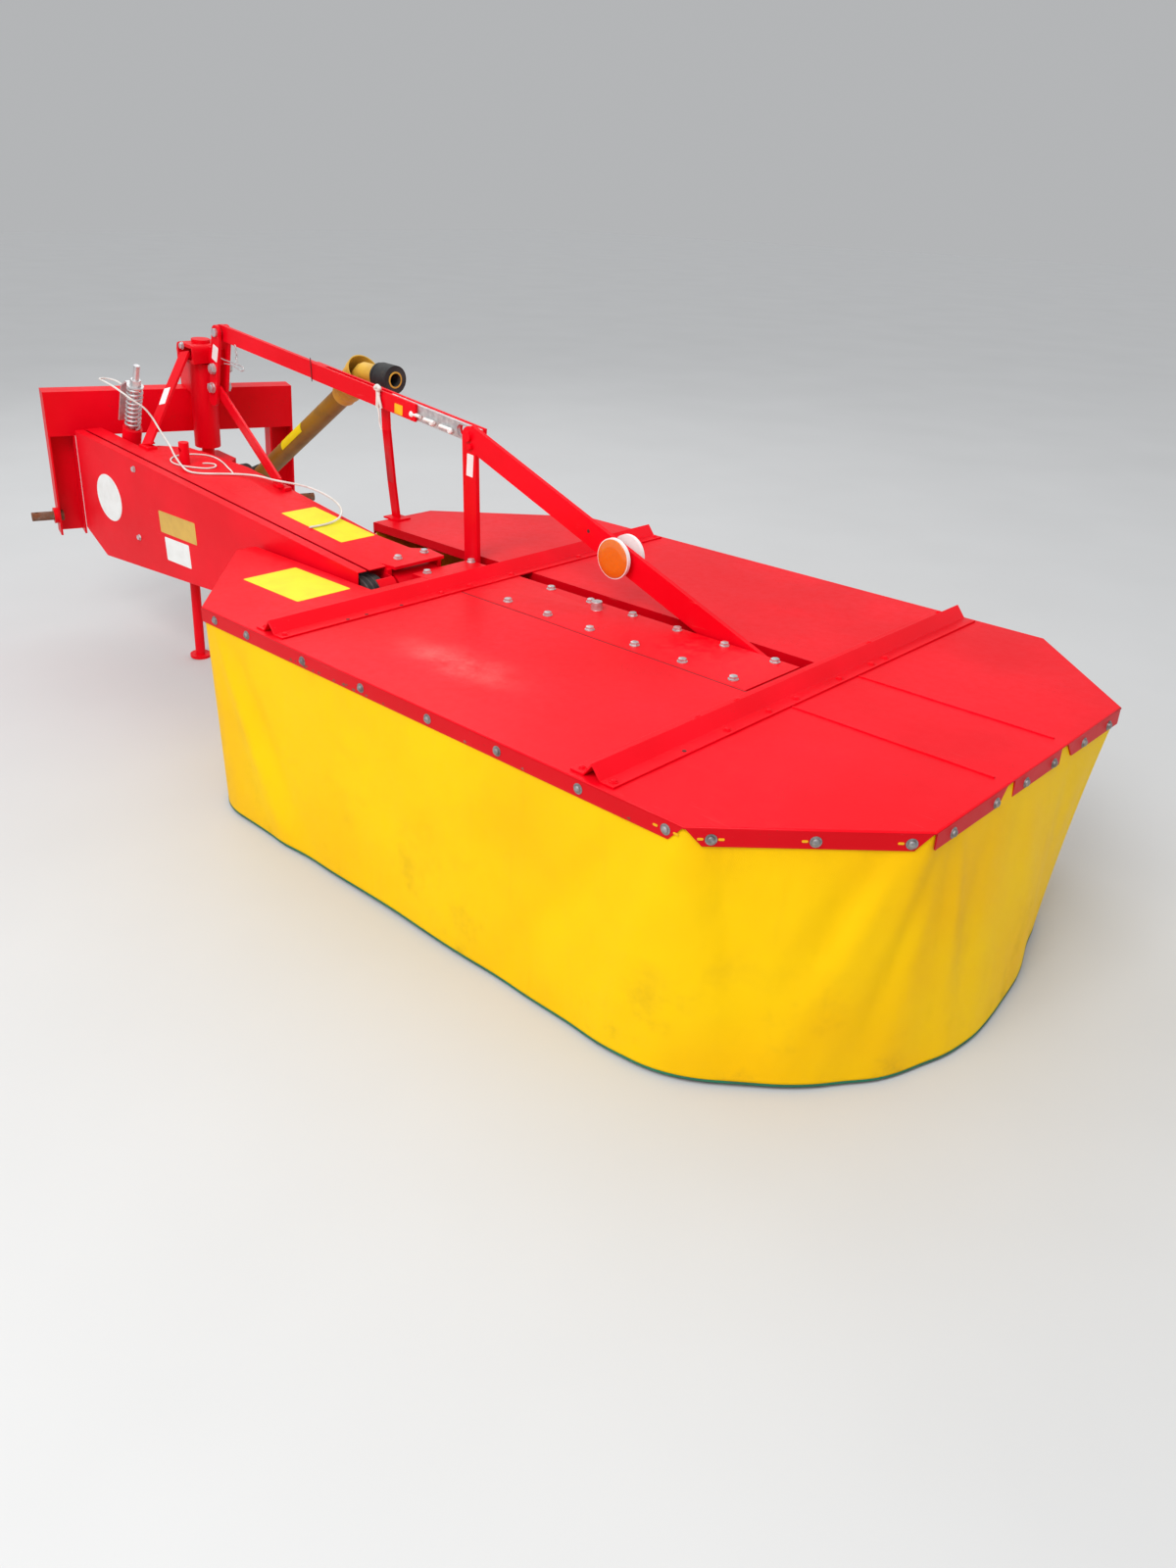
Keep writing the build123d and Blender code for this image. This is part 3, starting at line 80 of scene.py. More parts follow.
def camera_axes():
    """Right, up and forward of the camera: heading turns about Z, tilt leans down, roll is about forward."""
    level = np.array([math.cos(CAMERA_HEADING), -math.sin(CAMERA_HEADING), 0])
    forward = np.array([math.sin(CAMERA_HEADING) * math.cos(CAMERA_TILT),
                        math.cos(CAMERA_HEADING) * math.cos(CAMERA_TILT), -math.sin(CAMERA_TILT)])
    above = np.cross(level, forward)
    right = math.cos(CAMERA_ROLL) * level + math.sin(CAMERA_ROLL) * above
    return right, np.cross(right, forward), forward


right, up, forward = camera_axes()
camera = in_scene("camera", bpy.data.cameras.new("camera"))
camera.data.sensor_fit = "VERTICAL"
camera.data.sensor_height = 36
camera.data.lens = CAMERA_LENS
turn = Matrix([[right[i], up[i], -forward[i]] for i in range(3)]).to_4x4()
camera.matrix_world = Matrix.Translation(CAMERA_AT) @ turn
bpy.context.scene.camera = camera
bpy.context.scene.view_settings.view_transform = "Standard"
print("camera looks along", forward.round(3))

# %% [markdown]
# Most of the small pieces sit on the sloping arm. It gets its own set of axes, so that a sticker on it is
# placed by the arm's own length and height.

# %% Axes of the arm
ARM_SLOPE = math.radians(5)


def unit(vector):
    """A vector divided by its own length."""
    vector = np.asarray(vector, float)
    return vector / np.linalg.norm(vector, axis=-1, keepdims=True)


def axes(origin, along, out):
    """Three directions and an origin as columns: x along, z out, and y square to both."""
    z = unit(out)
    y = unit(np.cross(z, along))
    return np.column_stack([np.cross(y, z), y, z, np.asarray(origin, float)])


def put(place, points):
    """Points given in a set of axes, as points of the whole object."""
    return np.asarray(points, float) @ place[:, :3].T + place[:, 3]


ARM = axes(joints["arm_float"]["pos_m"], (math.cos(ARM_SLOPE), 0, -math.sin(ARM_SLOPE)),
           (math.sin(ARM_SLOPE), 0, math.cos(ARM_SLOPE)))
DECK_LOW, DECK_HIGH = (np.array(corner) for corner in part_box("deck_panel_near"))
DECK_TOP = DECK_HIGH[2]
DECK_HALF = -DECK_LOW[1]
print("deck top", round(DECK_TOP, 4), "half width", round(DECK_HALF, 4))

# %% [markdown]
# A new piece is a grid of points worked out as one array. Three helpers cover nearly all of them:
# a profile turned about an axis, a section carried along a path, and a flat outline given thickness.

# %% Shapes from grids of points


def quads(rows, columns, wrap):
    """Four-sided faces of a grid: each point, the next in its row, and the two above them."""
    row = np.arange(rows - 1)[:, None] * columns
    here = np.arange(columns if wrap else columns - 1)[None, :]
    there = (here + 1) % columns
    return np.stack([row + here, row + there, row + there + columns, row + here + columns], -1).reshape(-1, 4)


def sheet_of(grid, wrap=False):
    """A shape (points, faces) from a grid of rows x columns x 3 points."""
    rows, columns = grid.shape[:2]
    return grid.reshape(-1, 3), quads(rows, columns, wrap).tolist()


def closed(shape, columns):
    """The same shape with one flat face at each end."""
    points, faces = shape
    last = len(points) - columns
    return points, faces + [list(range(columns))[::-1], list(range(last, len(points)))]


def circle(sides):
    """Angles of a circle's points; the first isn't repeated at the end."""
    return np.arange(sides) * 2 * math.pi / sides


def spread(x, y, z):
    """A grid of points from its coordinates; a single row or column of one is spread over the others."""
    return np.stack(np.broadcast_arrays(x, y, z), -1)


def lathe(radius, angle, height):
    """Points round the Z axis: radius times cosine and sine of the angle, at a height."""
    return spread(radius * np.cos(angle), radius * np.sin(angle), height)


def turned(profile, sides=24, hexagon=()):
    """A profile of (radius, height) rows turned about Z; the rows named in hexagon are six-sided.
    A hexagon's radius at an angle is its flat's distance over the cosine of the angle from that flat."""
    profile = np.asarray(profile, float)
    angle = circle(sides)
    from_flat = (angle + math.pi / 6) % (math.pi / 3) - math.pi / 6
    radius = np.repeat(profile[:, :1], sides, axis=1)
    for row in hexagon:
        radius[row] = radius[row] / np.cos(from_flat)
    return closed(sheet_of(lathe(radius, angle, profile[:, 1:]), wrap=True), sides)


def tube(path, radius, sides=10, above=(0, 0, 1)):
    """A round section carried along a path: at each point a circle in the plane square to the path."""
    path = np.asarray(path, float)
    ahead = unit(np.gradient(path, axis=0))
    side = unit(np.cross(ahead, above))
    over = np.cross(side, ahead)
    angle = circle(sides)[None, :, None]
    ring = np.cos(angle) * side[:, None] + np.sin(angle) * over[:, None]
    radius = np.broadcast_to(np.asarray(radius, float), (len(path),))
    return closed(sheet_of(path[:, None] + radius[:, None, None] * ring, wrap=True), sides)


def slab(outline, low, high, edge=0.0):
    """A flat outline given thickness from low to high, its upper edge eased by a small step inwards."""
    outline = np.asarray(outline, float)
    middle = outline.mean(0)
    inner = middle + (outline - middle) * (1 - edge / np.abs(outline - middle).max())
    rows = [(outline, low), (outline, high - edge), (inner, high)]
    grid = np.stack([np.column_stack([flat, np.full(len(flat), z)]) for flat, z in rows])
    return closed(sheet_of(grid, wrap=True), len(outline))


print("a tube, a slab and a turned shape can be made")

# %% [markdown]
# Outlines, lines and places are small arrays too. A piece joins its shapes into one mesh, takes a finish
# and rides on a body of the machine.

# %% Outlines, lines and pieces


def rounded(width, height, corner, steps=5):
    """A rectangle with round corners: each corner's centre plus a quarter circle."""
    angle = np.concatenate([np.linspace(k, k + 1, steps) for k in range(4)]) * math.pi / 2
    sign_x = np.repeat([1, -1, -1, 1], steps)
    sign_y = np.repeat([1, 1, -1, -1], steps)
    return np.column_stack([sign_x * (width / 2 - corner) + corner * np.cos(angle),
                            sign_y * (height / 2 - corner) + corner * np.sin(angle)])


def oval(half_width, half_height, sides):
    """An outline round a middle: cosine and sine of a circle's angles times half the width and height."""
    return np.column_stack([half_width * np.cos(circle(sides)), half_height * np.sin(circle(sides))])


def outward(ahead):
    """Directions along an outline that runs round to the left, turned a quarter to the right."""
    return np.stack([ahead[..., 1], -ahead[..., 0]], -1)


def run_along(points):
    """Each point's distance along its line: the lengths of the straight pieces added up from 0."""
    return np.concatenate([[0], np.cumsum(np.linalg.norm(np.diff(points, axis=0), axis=1))])


def stepped(points, run, steps):
    """Points at steps along a line of straight pieces whose own points are at run."""
    return np.column_stack([np.interp(steps, run, column) for column in points.T])


def moved(shape, place):
    """A shape given in a set of axes, in the whole object's axes."""
    return put(place, shape[0]), shape[1]


def joined(shapes):
    """Several shapes as one, with each one's faces counted on from the last."""
    starts = np.cumsum([0] + [len(points) for points, _ in shapes]).tolist()
    faces = [[corner + start for corner in face] for (_, held), start in zip(shapes, starts) for face in held]
    return np.concatenate([points for points, _ in shapes]), faces


def shown(name, mesh, body, finish, smooth):
    """A mesh as an object that rides on a body, smooth except at edges sharper than an angle in degrees."""
    mesh.materials.clear()
    mesh.materials.append(finish)
    mesh.shade_smooth()
    mesh.set_sharp_from_angle(angle=math.radians(smooth))
    obj = in_scene(name, mesh)
    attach(obj, body)
    return obj


def piece(name, shapes, body, finish, smooth=40):
    """A new object whose mesh joins several shapes."""
    points, faces = joined(shapes)
    mesh = bpy.data.meshes.new(name)
    mesh.from_pydata(points.tolist(), [], faces)
    mesh.validate()
    return shown(name, mesh, body, finish, smooth)


# %% [markdown]
# A finish is a small network of nodes. Writing it node by node hides the sum behind it,
# so one small class wraps a socket and lets the sums of a shader be written as sums.

# %% Sums of a shader


class Field:
    """One output of a node; adding, multiplying and the like add Math nodes."""

    def __init__(self, finish, socket):
        self.finish = finish
        self.socket = socket

    def sum(self, operation, first, second):
        """One Math node of two values."""
        return self.finish.node("ShaderNodeMath", {"operation": operation}, {0: first, 1: second})

    def __add__(self, other):
        return self.sum("ADD", self, other)

    def __radd__(self, other):
        return self.sum("ADD", other, self)

    def __sub__(self, other):
        return self.sum("SUBTRACT", self, other)

    def __rsub__(self, other):
        return self.sum("SUBTRACT", other, self)

    def __mul__(self, other):
        return self.sum("MULTIPLY", self, other)

    def __rmul__(self, other):
        return self.sum("MULTIPLY", other, self)

    def sine(self):
        """The sine of a field in radians."""
        return self.finish.node("ShaderNodeMath", {"operation": "SINE"}, {0: self})

    def between(self, low, high):
        """0 below low, 1 above high, and a smooth rise from one to the other."""
        return self.finish.node("ShaderNodeMapRange", {"interpolation_type": "SMOOTHSTEP"},
                                {"Value": self, "From Min": low, "From Max": high})


class Finish:
    """A procedural material: a Principled shader and the fields that feed it."""

    def __init__(self, name, **fixed):
        self.material = bpy.data.materials.new(name)
        self.material.use_nodes = True
        self.tree = self.material.node_tree
        self.shader = self.tree.nodes["Principled BSDF"]
        for socket, value in fixed.items():
            self.shader.inputs[socket.replace("_", " ")].default_value = value
        self.place = self.node("ShaderNodeTexCoord", out="Object")

    def node(self, kind, settings=None, sockets=None, out=0):
        """Adds a node: first its settings, then the values or links of its sockets."""
        new = self.tree.nodes.new(kind)
        for name, value in (settings or {}).items():
            setattr(new, name, value)
        for key, value in (sockets or {}).items():
            if isinstance(value, Field):
                self.tree.links.new(value.socket, new.inputs[key])
            else:
                new.inputs[key].default_value = value
        return Field(self, new.outputs[out])

    def mapped(self, scale, turn=(0, 0, 0), shift=(0, 0, 0)):
        """The object's coordinates scaled, turned and shifted, for a pattern that is longer one way."""
        sockets = {"Vector": self.place, "Location": shift, "Rotation": turn, "Scale": scale}
        return self.node("ShaderNodeMapping", None, sockets)

    def noise(self, scale, detail=3.0, rough=0.5, place=None):
        """Cloudy noise from 0 to 1; scale is in lumps per metre."""
        return self.node("ShaderNodeTexNoise", None, {"Vector": place or self.place, "Scale": scale,
                                                      "Detail": detail, "Roughness": rough})

    def cells(self, scale):
        """Distance to the nearest of many scattered points, as for specks and chips."""
        return self.node("ShaderNodeTexVoronoi", None, {"Vector": self.place, "Scale": scale})

    def along(self, axis, source=None):
        """One coordinate, in metres."""
        return self.node("ShaderNodeSeparateXYZ", None, {0: source or self.place}, out=axis)

    def upward(self):
        """1 on a face that looks up, 0 on an upright one."""
        return self.along("Z", self.node("ShaderNodeNewGeometry", out="Normal"))

    def mix(self, share, first, second):
        """Two colours mixed by a share from 0 to 1; each is a field or red, green and blue."""
        first, second = (c if isinstance(c, Field) else (*c, 1.0) for c in (first, second))
        return self.node("ShaderNodeMix", {"data_type": "RGBA"}, {0: share, 6: first, 7: second}, out=2)

    def relief(self, height, distance, strength=1.0):
        """Feeds the shader's Normal from a height field, in metres."""
        sockets = {"Height": height, "Distance": distance, "Strength": strength}
        self.feed("Normal", self.node("ShaderNodeBump", None, sockets))

    def feed(self, socket, field):
        """Links a field to a socket of the shader."""
        self.tree.links.new(field.socket, self.shader.inputs[socket])


RUST = (0.11, 0.035, 0.014)
# pale pink of a dusty film on level faces, partly painted highlight on the tops
DUSTY_SHEEN = (0.46, 0.20, 0.15)
print("shader sums ready")

# %% [markdown]
# Red paint covers almost all of the machine. It is bright and fairly glossy, a little duller and paler where a
# dusty film lies on level faces, a film that is partly painted highlight on the tops, with fine scratches, and
# chipped to brown where stones strike the rims. On thin sheet, painted shade darkens the upright faces.

# %% Red paint


def red_paint(name, chips=0.25, dusty_sheen=0.5, dents=0.0, crease=None, shade=0.0):
    """Paint with a dusty film on level faces that is partly painted highlight, specks chipped to rust, shallow
    waves in thin sheet, painted shade on upright faces, and faded paint with painted highlight over a dent.
    """
    paint = Finish(name, Coat_Roughness=0.2, Specular_IOR_Level=0.10)
    cloud = paint.noise(3.5, 4)
    fine = paint.noise(45, 5, 0.65)
    tone = paint.mix(cloud.between(0.3, 0.75), (0.70, 0.0, 0.007), (0.82, 0.001, 0.012))
    # a dusty film on level faces: partly real, partly painted highlight on the tops
    film_and_sheen_on_top = paint.upward().between(0.6, 1.0) * fine.between(0.35, 0.8) * cloud.between(0.2, 0.8)
    tone = paint.mix(film_and_sheen_on_top * (0.10 * dusty_sheen), tone, DUSTY_SHEEN)
    # painted shade: upright faces are mixed towards a deeper red, standing in for the shade on the sheet's
    # sides and rim
    upright = 1 - paint.upward().between(0.3, 0.7)
    tone = paint.mix(upright * shade, tone, (0.44, 0.0, 0.003))
    if crease:
        # a pale patch over a dent in the sheet: faded paint, with painted highlight where the dent catches the
        # light
        centre, size = crease
        offset = paint.mapped(tuple(1 / s for s in size), shift=tuple(-c / s for c, s in zip(centre, size)))
        near = paint.node("ShaderNodeVectorMath", {"operation": "LENGTH"}, {0: offset}, out="Value")
        dent_fade_and_highlight = (1 - near.between(0.0, 1.0)) * paint.noise(8, 8, 0.75).between(0.36, 0.72)
        tone = paint.mix(dent_fade_and_highlight * 0.42, tone, (0.84, 0.26, 0.23))
    speck = paint.cells(150)
    spots = (1 - speck.between(0.10, 0.17)) * paint.noise(9, 2).between(0.56, 0.68) * chips
    scratch = paint.noise(1.0, 2, 0.6, place=paint.mapped((9, 420, 300), turn=(0.4, 0.1, 0.5)))
    lines = scratch.between(0.70, 0.74) * paint.noise(6, 2).between(0.5, 0.65)
    tone = paint.mix(lines * 0.35, tone, (0.85, 0.16, 0.15))
    tone = paint.mix(spots, tone, RUST)
    paint.feed("Base Color", tone)
    paint.feed("Roughness", 0.30 + 0.18 * fine + 0.20 * film_and_sheen_on_top * dusty_sheen + 0.4 * spots)
    paint.feed("Coat Weight", 0.05 * (1 - spots) * (1 - film_and_sheen_on_top))
    waves = paint.noise(4.5, 1) * dents + paint.noise(240, 2) * 0.03 - spots * 0.15
    paint.relief(waves, 0.004, 0.7)
    return paint.material


PAINT = red_paint("red_paint")
# thin sheet of the deck: painted shade darkens its upright faces and rim
THIN_SHEET = red_paint("red_paint_thin_sheet", chips=0.6, dusty_sheen=0.55, dents=1.6,
                       crease=((0.560, -0.435, 0.514), (0.24, 0.10, 0.2)), shade=0.55)
WORN_PAINT = red_paint("red_paint_worn", chips=0.9, dusty_sheen=1.2, dents=0.2)
print("red paint in three states of wear")

# %% [markdown]
# Metals are two greys that cloud into each other, with patches where rust takes over and the shine ends.

# %% Metals


def metal(name, light, dark, rough, rust, grain=60):
    """Metal with a cloudy tone between two greys and patches of rust."""
    skin = Finish(name)
    cloud = skin.noise(grain, 4, 0.6)
    tone = skin.mix(cloud.between(0.3, 0.7), dark, light)
    patches = skin.noise(grain * 0.7, 5, 0.7).between(0.62 - 0.3 * rust, 0.74 - 0.2 * rust)
    flakes = skin.mix(skin.noise(grain * 4, 3), RUST, (0.24, 0.09, 0.035))
    skin.feed("Base Color", skin.mix(patches * min(1.0, rust * 1.6), tone, flakes))
    skin.feed("Metallic", 0.9 - 0.85 * patches * min(1.0, rust * 1.6))
    skin.feed("Roughness", rough + 0.22 * cloud + 0.3 * patches * rust)
    skin.relief(skin.noise(grain * 6, 3) * 0.4 + patches * 0.6, 0.0006, 0.6)
    return skin.material


ZINC = metal("galvanised_zinc", (0.80, 0.80, 0.80), (0.58, 0.58, 0.59), 0.38, 0.10)
DULL_ZINC = metal("dull_zinc", (0.42, 0.41, 0.41), (0.20, 0.19, 0.19), 0.42, 0.30, 90)
STEEL = metal("bare_steel", (0.44, 0.42, 0.40), (0.28, 0.26, 0.25), 0.38, 0.35, 25)
RUSTY = metal("rusty_steel", (0.33, 0.25, 0.20), (0.20, 0.12, 0.08), 0.55, 0.9, 40)
CAST = metal("cast_iron", (0.20, 0.19, 0.19), (0.12, 0.11, 0.11), 0.5, 0.4, 50)
print("metals", ZINC.name, DULL_ZINC.name, STEEL.name, RUSTY.name, CAST.name)

# %% [markdown]
# Moulded stuff has no grain of its own: its colour clouds towards a worn tone, and dirt gathers in patches.
# A reflector is a field of tiny cells behind a clear skin.

# %% Rubber, plastics, vinyl and twine


def moulded(name, colour, worn, rough, grain=300, dirt=0.3):
    """Moulded stuff: a colour that clouds towards a worn tone, dirt in patches, and a fine grain."""
    skin = Finish(name, Specular_IOR_Level=0.3)
    cloud = skin.noise(18, 4, 0.6)
    tone = skin.mix(cloud.between(0.35, 0.75), colour, worn)
    smear = skin.noise(30, 5, 0.7).between(0.55, 0.75) * dirt
    skin.feed("Base Color", skin.mix(smear, tone, (0.09, 0.065, 0.045)))
    skin.feed("Roughness", rough + 0.15 * cloud + 0.2 * smear)
    skin.relief(skin.noise(grain, 3) * 0.5 + cloud * 0.5, 0.0006, 0.5)
    return skin.material


RUBBER = moulded("black_rubber", (0.022, 0.022, 0.023), (0.055, 0.053, 0.05), 0.55)
OLIVE = moulded("olive_plastic", (0.30, 0.155, 0.010), (0.22, 0.115, 0.014), 0.42, 200, 0.25)
YELLOW = moulded("yellow_plastic", (0.66, 0.39, 0.045), (0.52, 0.29, 0.035), 0.45, 200, 0.3)
WHITE_VINYL = moulded("white_vinyl", (0.80, 0.80, 0.78), (0.72, 0.71, 0.68), 0.35, 500, 0.10)
YELLOW_VINYL = moulded("yellow_vinyl", (0.80, 0.71, 0.004), (0.73, 0.64, 0.010), 0.4, 500, 0.10)
ORANGE_VINYL = moulded("orange_vinyl", (0.86, 0.47, 0.004), (0.78, 0.40, 0.008), 0.4, 500, 0.10)
AMBER_VINYL = moulded("amber_vinyl", (0.66, 0.40, 0.075), (0.58, 0.34, 0.07), 0.4, 500, 0.10)
TWINE = moulded("white_twine", (0.72, 0.70, 0.66), (0.60, 0.57, 0.52), 0.8, 900, 0.15)
GREEN_TAPE = moulded("green_tape", (0.015, 0.16, 0.085), (0.02, 0.12, 0.07), 0.6, 700, 0.4)
# dark red-brown: the link's clamp line, painted shade in open holes and painted shadow beside the gear cover
DARK_JOINT_AND_SHADE = moulded("dark_clamp_and_painted_shade", (0.10, 0.02, 0.02), (0.07, 0.03, 0.03), 0.6, 400, 0.4)


def lens(name, colour):
    """A reflector's face: tiny cells pressed behind a clear, glossy skin."""
    skin = Finish(name, Coat_Weight=1.0, Coat_Roughness=0.04)
    cell = skin.cells(420)
    skin.feed("Base Color", skin.mix(cell.between(0.0, 0.6), colour, [0.7 * c for c in colour]))
    skin.feed("Roughness", 0.18 + 0.2 * cell)
    skin.relief(cell, 0.0008, 0.6)
    return skin.material


AMBER_LENS = lens("amber_lens", (0.90, 0.20, 0.003))
print("plastics and vinyl ready")

# %% [markdown]
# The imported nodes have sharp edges, but folded sheet and cut bar never do, and a sharp edge catches no light.
# A copy of each node is merged, its flat triangles are joined into whole faces, and a Bevel rounds its edges.
# On the deck panels, bevel weights pick the folded outer edges alone, and give them a wide round.

# %% Rounded copies of the rigid nodes


MERGE_WITHIN = 2e-6
FLAT_WITHIN = math.radians(0.8)
SHADE_SHARP = 30
BEVEL_SHARP = math.radians(38)


def eased(node, width, finish, fold=None, segments=2):
    """A copy of a CAD node with rounded edges. fold gives each edge's weight from its ends, where only
    some are rounded; without it, all edges sharper than an angle are."""
    mesh = nodes[node].data.copy()
    work = bmesh.new()
    work.from_mesh(mesh)
    bmesh.ops.remove_doubles(work, verts=work.verts, dist=MERGE_WITHIN)
    bmesh.ops.dissolve_limit(work, angle_limit=FLAT_WITHIN, verts=work.verts, edges=work.edges)
    work.to_mesh(mesh)
    work.free()
    mesh.name = node + "_eased"
    obj = shown(node + "_eased", mesh, body_of_node[node], finish, SHADE_SHARP)
    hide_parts(node)
    bevel = obj.modifiers.new("rounded_edges", "BEVEL")
    bevel.width = width
    bevel.segments = segments
    bevel.harden_normals = True
    bevel.use_clamp_overlap = True
    bevel.limit_method = "ANGLE"
    bevel.angle_limit = BEVEL_SHARP
    if fold:
        corners = np.array([v.co for v in mesh.vertices])
        ends = np.array([e.vertices for e in mesh.edges])
        folded = fold(corners[ends[:, 0]], corners[ends[:, 1]])
        weight = mesh.attributes.new("bevel_weight_edge", "FLOAT", "EDGE")
        weight.data.foreach_set("value", folded.astype(np.float32))
        bevel.limit_method = "WEIGHT"
    return obj


DECK_FOLD = 0.0045


def upper_rim(first, second):
    """Weight 1 on the edges where the deck's top turns down: both ends high, and on the outer outline."""
    high = (first[:, 2] > DECK_TOP - 1e-4) & (second[:, 2] > DECK_TOP - 1e-4)
    middle = (first + second) / 2
    from_end = middle[:, 0] - DECK_LOW[0]
    inside = (from_end > 0.51) & (from_end < 2.0) & (np.abs(middle[:, 1]) < DECK_HALF - 0.3)
    return np.where(high & ~inside, 1.0, 0.0)


SHEET_NODES = ("deck_panel_near", "deck_panel_far", "deck_panel_end")
for node in SHEET_NODES:
    eased(node, DECK_FOLD, THIN_SHEET, fold=upper_rim, segments=3)

# width of the rounding of each node
BAR_NODES = {
    "cross_member_inner": 0.0012, "cross_member_outer": 0.0012, "gear_cover": 0.0012, "tension_frame": 0.0018,
    "belt_cover": 0.0014, "belt_tray": 0.0012, "arm_plate": 0.0016, "arm_box": 0.0016, "arm_head": 0.002,
    "yoke": 0.002, "tower_plates": 0.0018, "stay_near": 0.0014, "stay_far": 0.0014, "latch_housing": 0.0016,
    "link_bar": 0.0016, "link_sides": 0.0014, "strut": 0.0014, "hitch_beam": 0.0022, "hitch_barrel": 0.0022,
    "stand_leg": 0.0016,
}
WORN_NODES = ("arm_plate", "gear_cover", "hitch_beam", "stand_leg", "latch_housing")
for node, width in BAR_NODES.items():
    eased(node, width, WORN_PAINT if node in WORN_NODES else PAINT)
eased("latch_lever", 0.0008, ZINC)
# the cover's filler plug stands above the deck, and its faces are bare zinc
cover = bpy.data.objects["gear_cover_eased"].data
cover.materials.append(ZINC)
centres = np.empty(len(cover.polygons) * 3)
cover.polygons.foreach_get("center", centres)
cover.polygons.foreach_set("material_index", (centres[2::3] > DECK_TOP + 5e-4).astype(np.int32))
print("rounded copies", len(SHEET_NODES) + len(BAR_NODES) + 1)

# %% [markdown]
# Drums, dishes, pulleys, pins and the drive shaft keep their own mesh and only take a finish.

# %% Finishes of the nodes that keep their own mesh
KEPT = {
    "gear_beam": PAINT, "drum_inner": PAINT, "drum_outer": PAINT, "skid_dish_inner": STEEL,
    "skid_dish_outer": STEEL, "knives_inner": STEEL, "knives_outer": STEEL, "v_belts": RUBBER,
    "deck_pulley": CAST, "input_pulley": CAST, "tower_pin": ZINC, "latch_spring": ZINC, "link_strip": ZINC,
    "lower_pins": RUSTY, "shaft_boot": RUBBER, "shaft_tube": OLIVE, "shaft_bell": YELLOW,
    "shaft_collar": RUBBER, "reflectors": WHITE_VINYL,
}
for node, finish in KEPT.items():
    mesh = nodes[node].data
    mesh.materials.clear()
    mesh.materials.append(finish)
print("finishes on", len(KEPT), "nodes")

# %% [markdown]
# The rope of the latch is limp. Its line is a NURBS spline that the listed points pull towards themselves.
# Three strands wind round that line, each a tube on a helix of its own, a third of a turn apart.
# A second, thinner end starts on the first, runs round the stand's post and ends in a loop behind it.

# %% Ropes
ROPE_ROUTE = (
    (-1329.5, -137, 221.9), (-1352, -137.5, 229.5), (-1374, -144, 236), (-1389, -161, 240),
    (-1391, -181, 242.5), (-1376, -195.5, 244), (-1345, -194, 243), (-1302, -188, 237),
    (-1264, -181, 226.5), (-1228, -172, 213), (-1205, -145.5, 192), (-1198, -125.5, 161.5),
    (-1168, -126, 139), (-1118, -136, 124), (-1052, -153, 113), (-989, -176, 104),
    (-935, -186, 89.5), (-893, -190, 82), (-863, -170, 81.6), (-838, -130, 81.8),
    (-810, -84, 82.2), (-770, -58, 86), (-712, -56, 95), (-650, -60, 102.5),
    (-602, -45, 106), (-556, -20, 105.6), (-500, -9, 103), (-440, -10, 99.6),
    (-386, -22, 96), (-342, -46, 91.4), (-315, -82, 85.6), (-309, -128, 81.8),
    (-313, -173, 82),
)
LOOP_ROUTE = (
    (-814, -90, 83), (-838, -79, 82), (-872, -70, 81), (-908, -58, 80.6),
    (-944, -49, 80.6), (-982, -44, 80.6), (-1018, -50, 80.6), (-1044, -72, 80.6),
    (-1058, -103, 80.6), (-1056, -138, 80.6), (-1034, -166, 80.6), (-1000, -181, 80.6),
    (-966, -177, 80.6), (-938, -160, 80.6), (-912, -139, 80.6), (-897, -116, 80.6),
    (-902, -93, 80.6), (-923, -80, 80.6), (-944, -88, 80.6), (-952, -108, 80.6),
)
ROPE_LENGTH = 1.425
ROPE_THICK = 0.006
ROPE_PITCH = 0.021
LOOP_LENGTH = 0.596
LOOP_THICK = 0.0048
LOOP_PITCH = 0.017
STRAND_OFF = 0.245
STRAND_RADIUS = 0.27
END_TAPER = 0.004
STEPS_A_TURN = 12


def spline_line(name, route):
    """Points of a bare NURBS spline, whose control points are a route in millimetres in the arm's axes."""
    curve = bpy.data.curves.new(name, "CURVE")
    curve.dimensions = "3D"
    spline = curve.splines.new("NURBS")
    points = put(ARM, np.array(route) / 1000)
    spline.points.add(len(points) - 1)
    spline.points.foreach_set("co", np.column_stack([points, np.ones(len(points))]).ravel())
    spline.order_u = 3
    spline.use_endpoint_u = True
    spline.resolution_u = 16
    guide = bpy.data.objects.new(name, curve)
    mesh = bpy.data.meshes.new_from_object(guide)
    line = np.empty(len(mesh.vertices) * 3)
    mesh.vertices.foreach_get("co", line)
    bpy.data.objects.remove(guide)
    return line.reshape(-1, 3)


def rope(name, route, diameter, pitch, length, **declared):
    """Three strands round a line, each a quarter diameter off it at an angle that turns once a pitch.
    A strand's radius grows from a third to its full size over the first and last 4 mm."""
    line = spline_line(name + "_line", route)
    run = run_along(line)
    steps = np.linspace(0, run[-1], int(run[-1] / pitch * STEPS_A_TURN))
    path = stepped(line, run, steps)
    ahead = unit(np.gradient(path, axis=0))
    side = unit(np.cross(ahead, ARM[:, 2] + 0.3 * ARM[:, 1]))
    over = np.cross(side, ahead)
    grown = np.clip(np.minimum(steps, run[-1] - steps) / END_TAPER, 0.35, 1)
    strands = []
    for third in range(3):
        angle = (steps / pitch + third / 3) * 2 * math.pi
        offset = np.cos(angle)[:, None] * side + np.sin(angle)[:, None] * over
        strands.append(tube(path + STRAND_OFF * diameter * offset, STRAND_RADIUS * diameter * grown, 7))
    obj = piece(name, strands, "arm", TWINE, 70)
    print(name, "length", round(run[-1], 3), "m")
    return obj


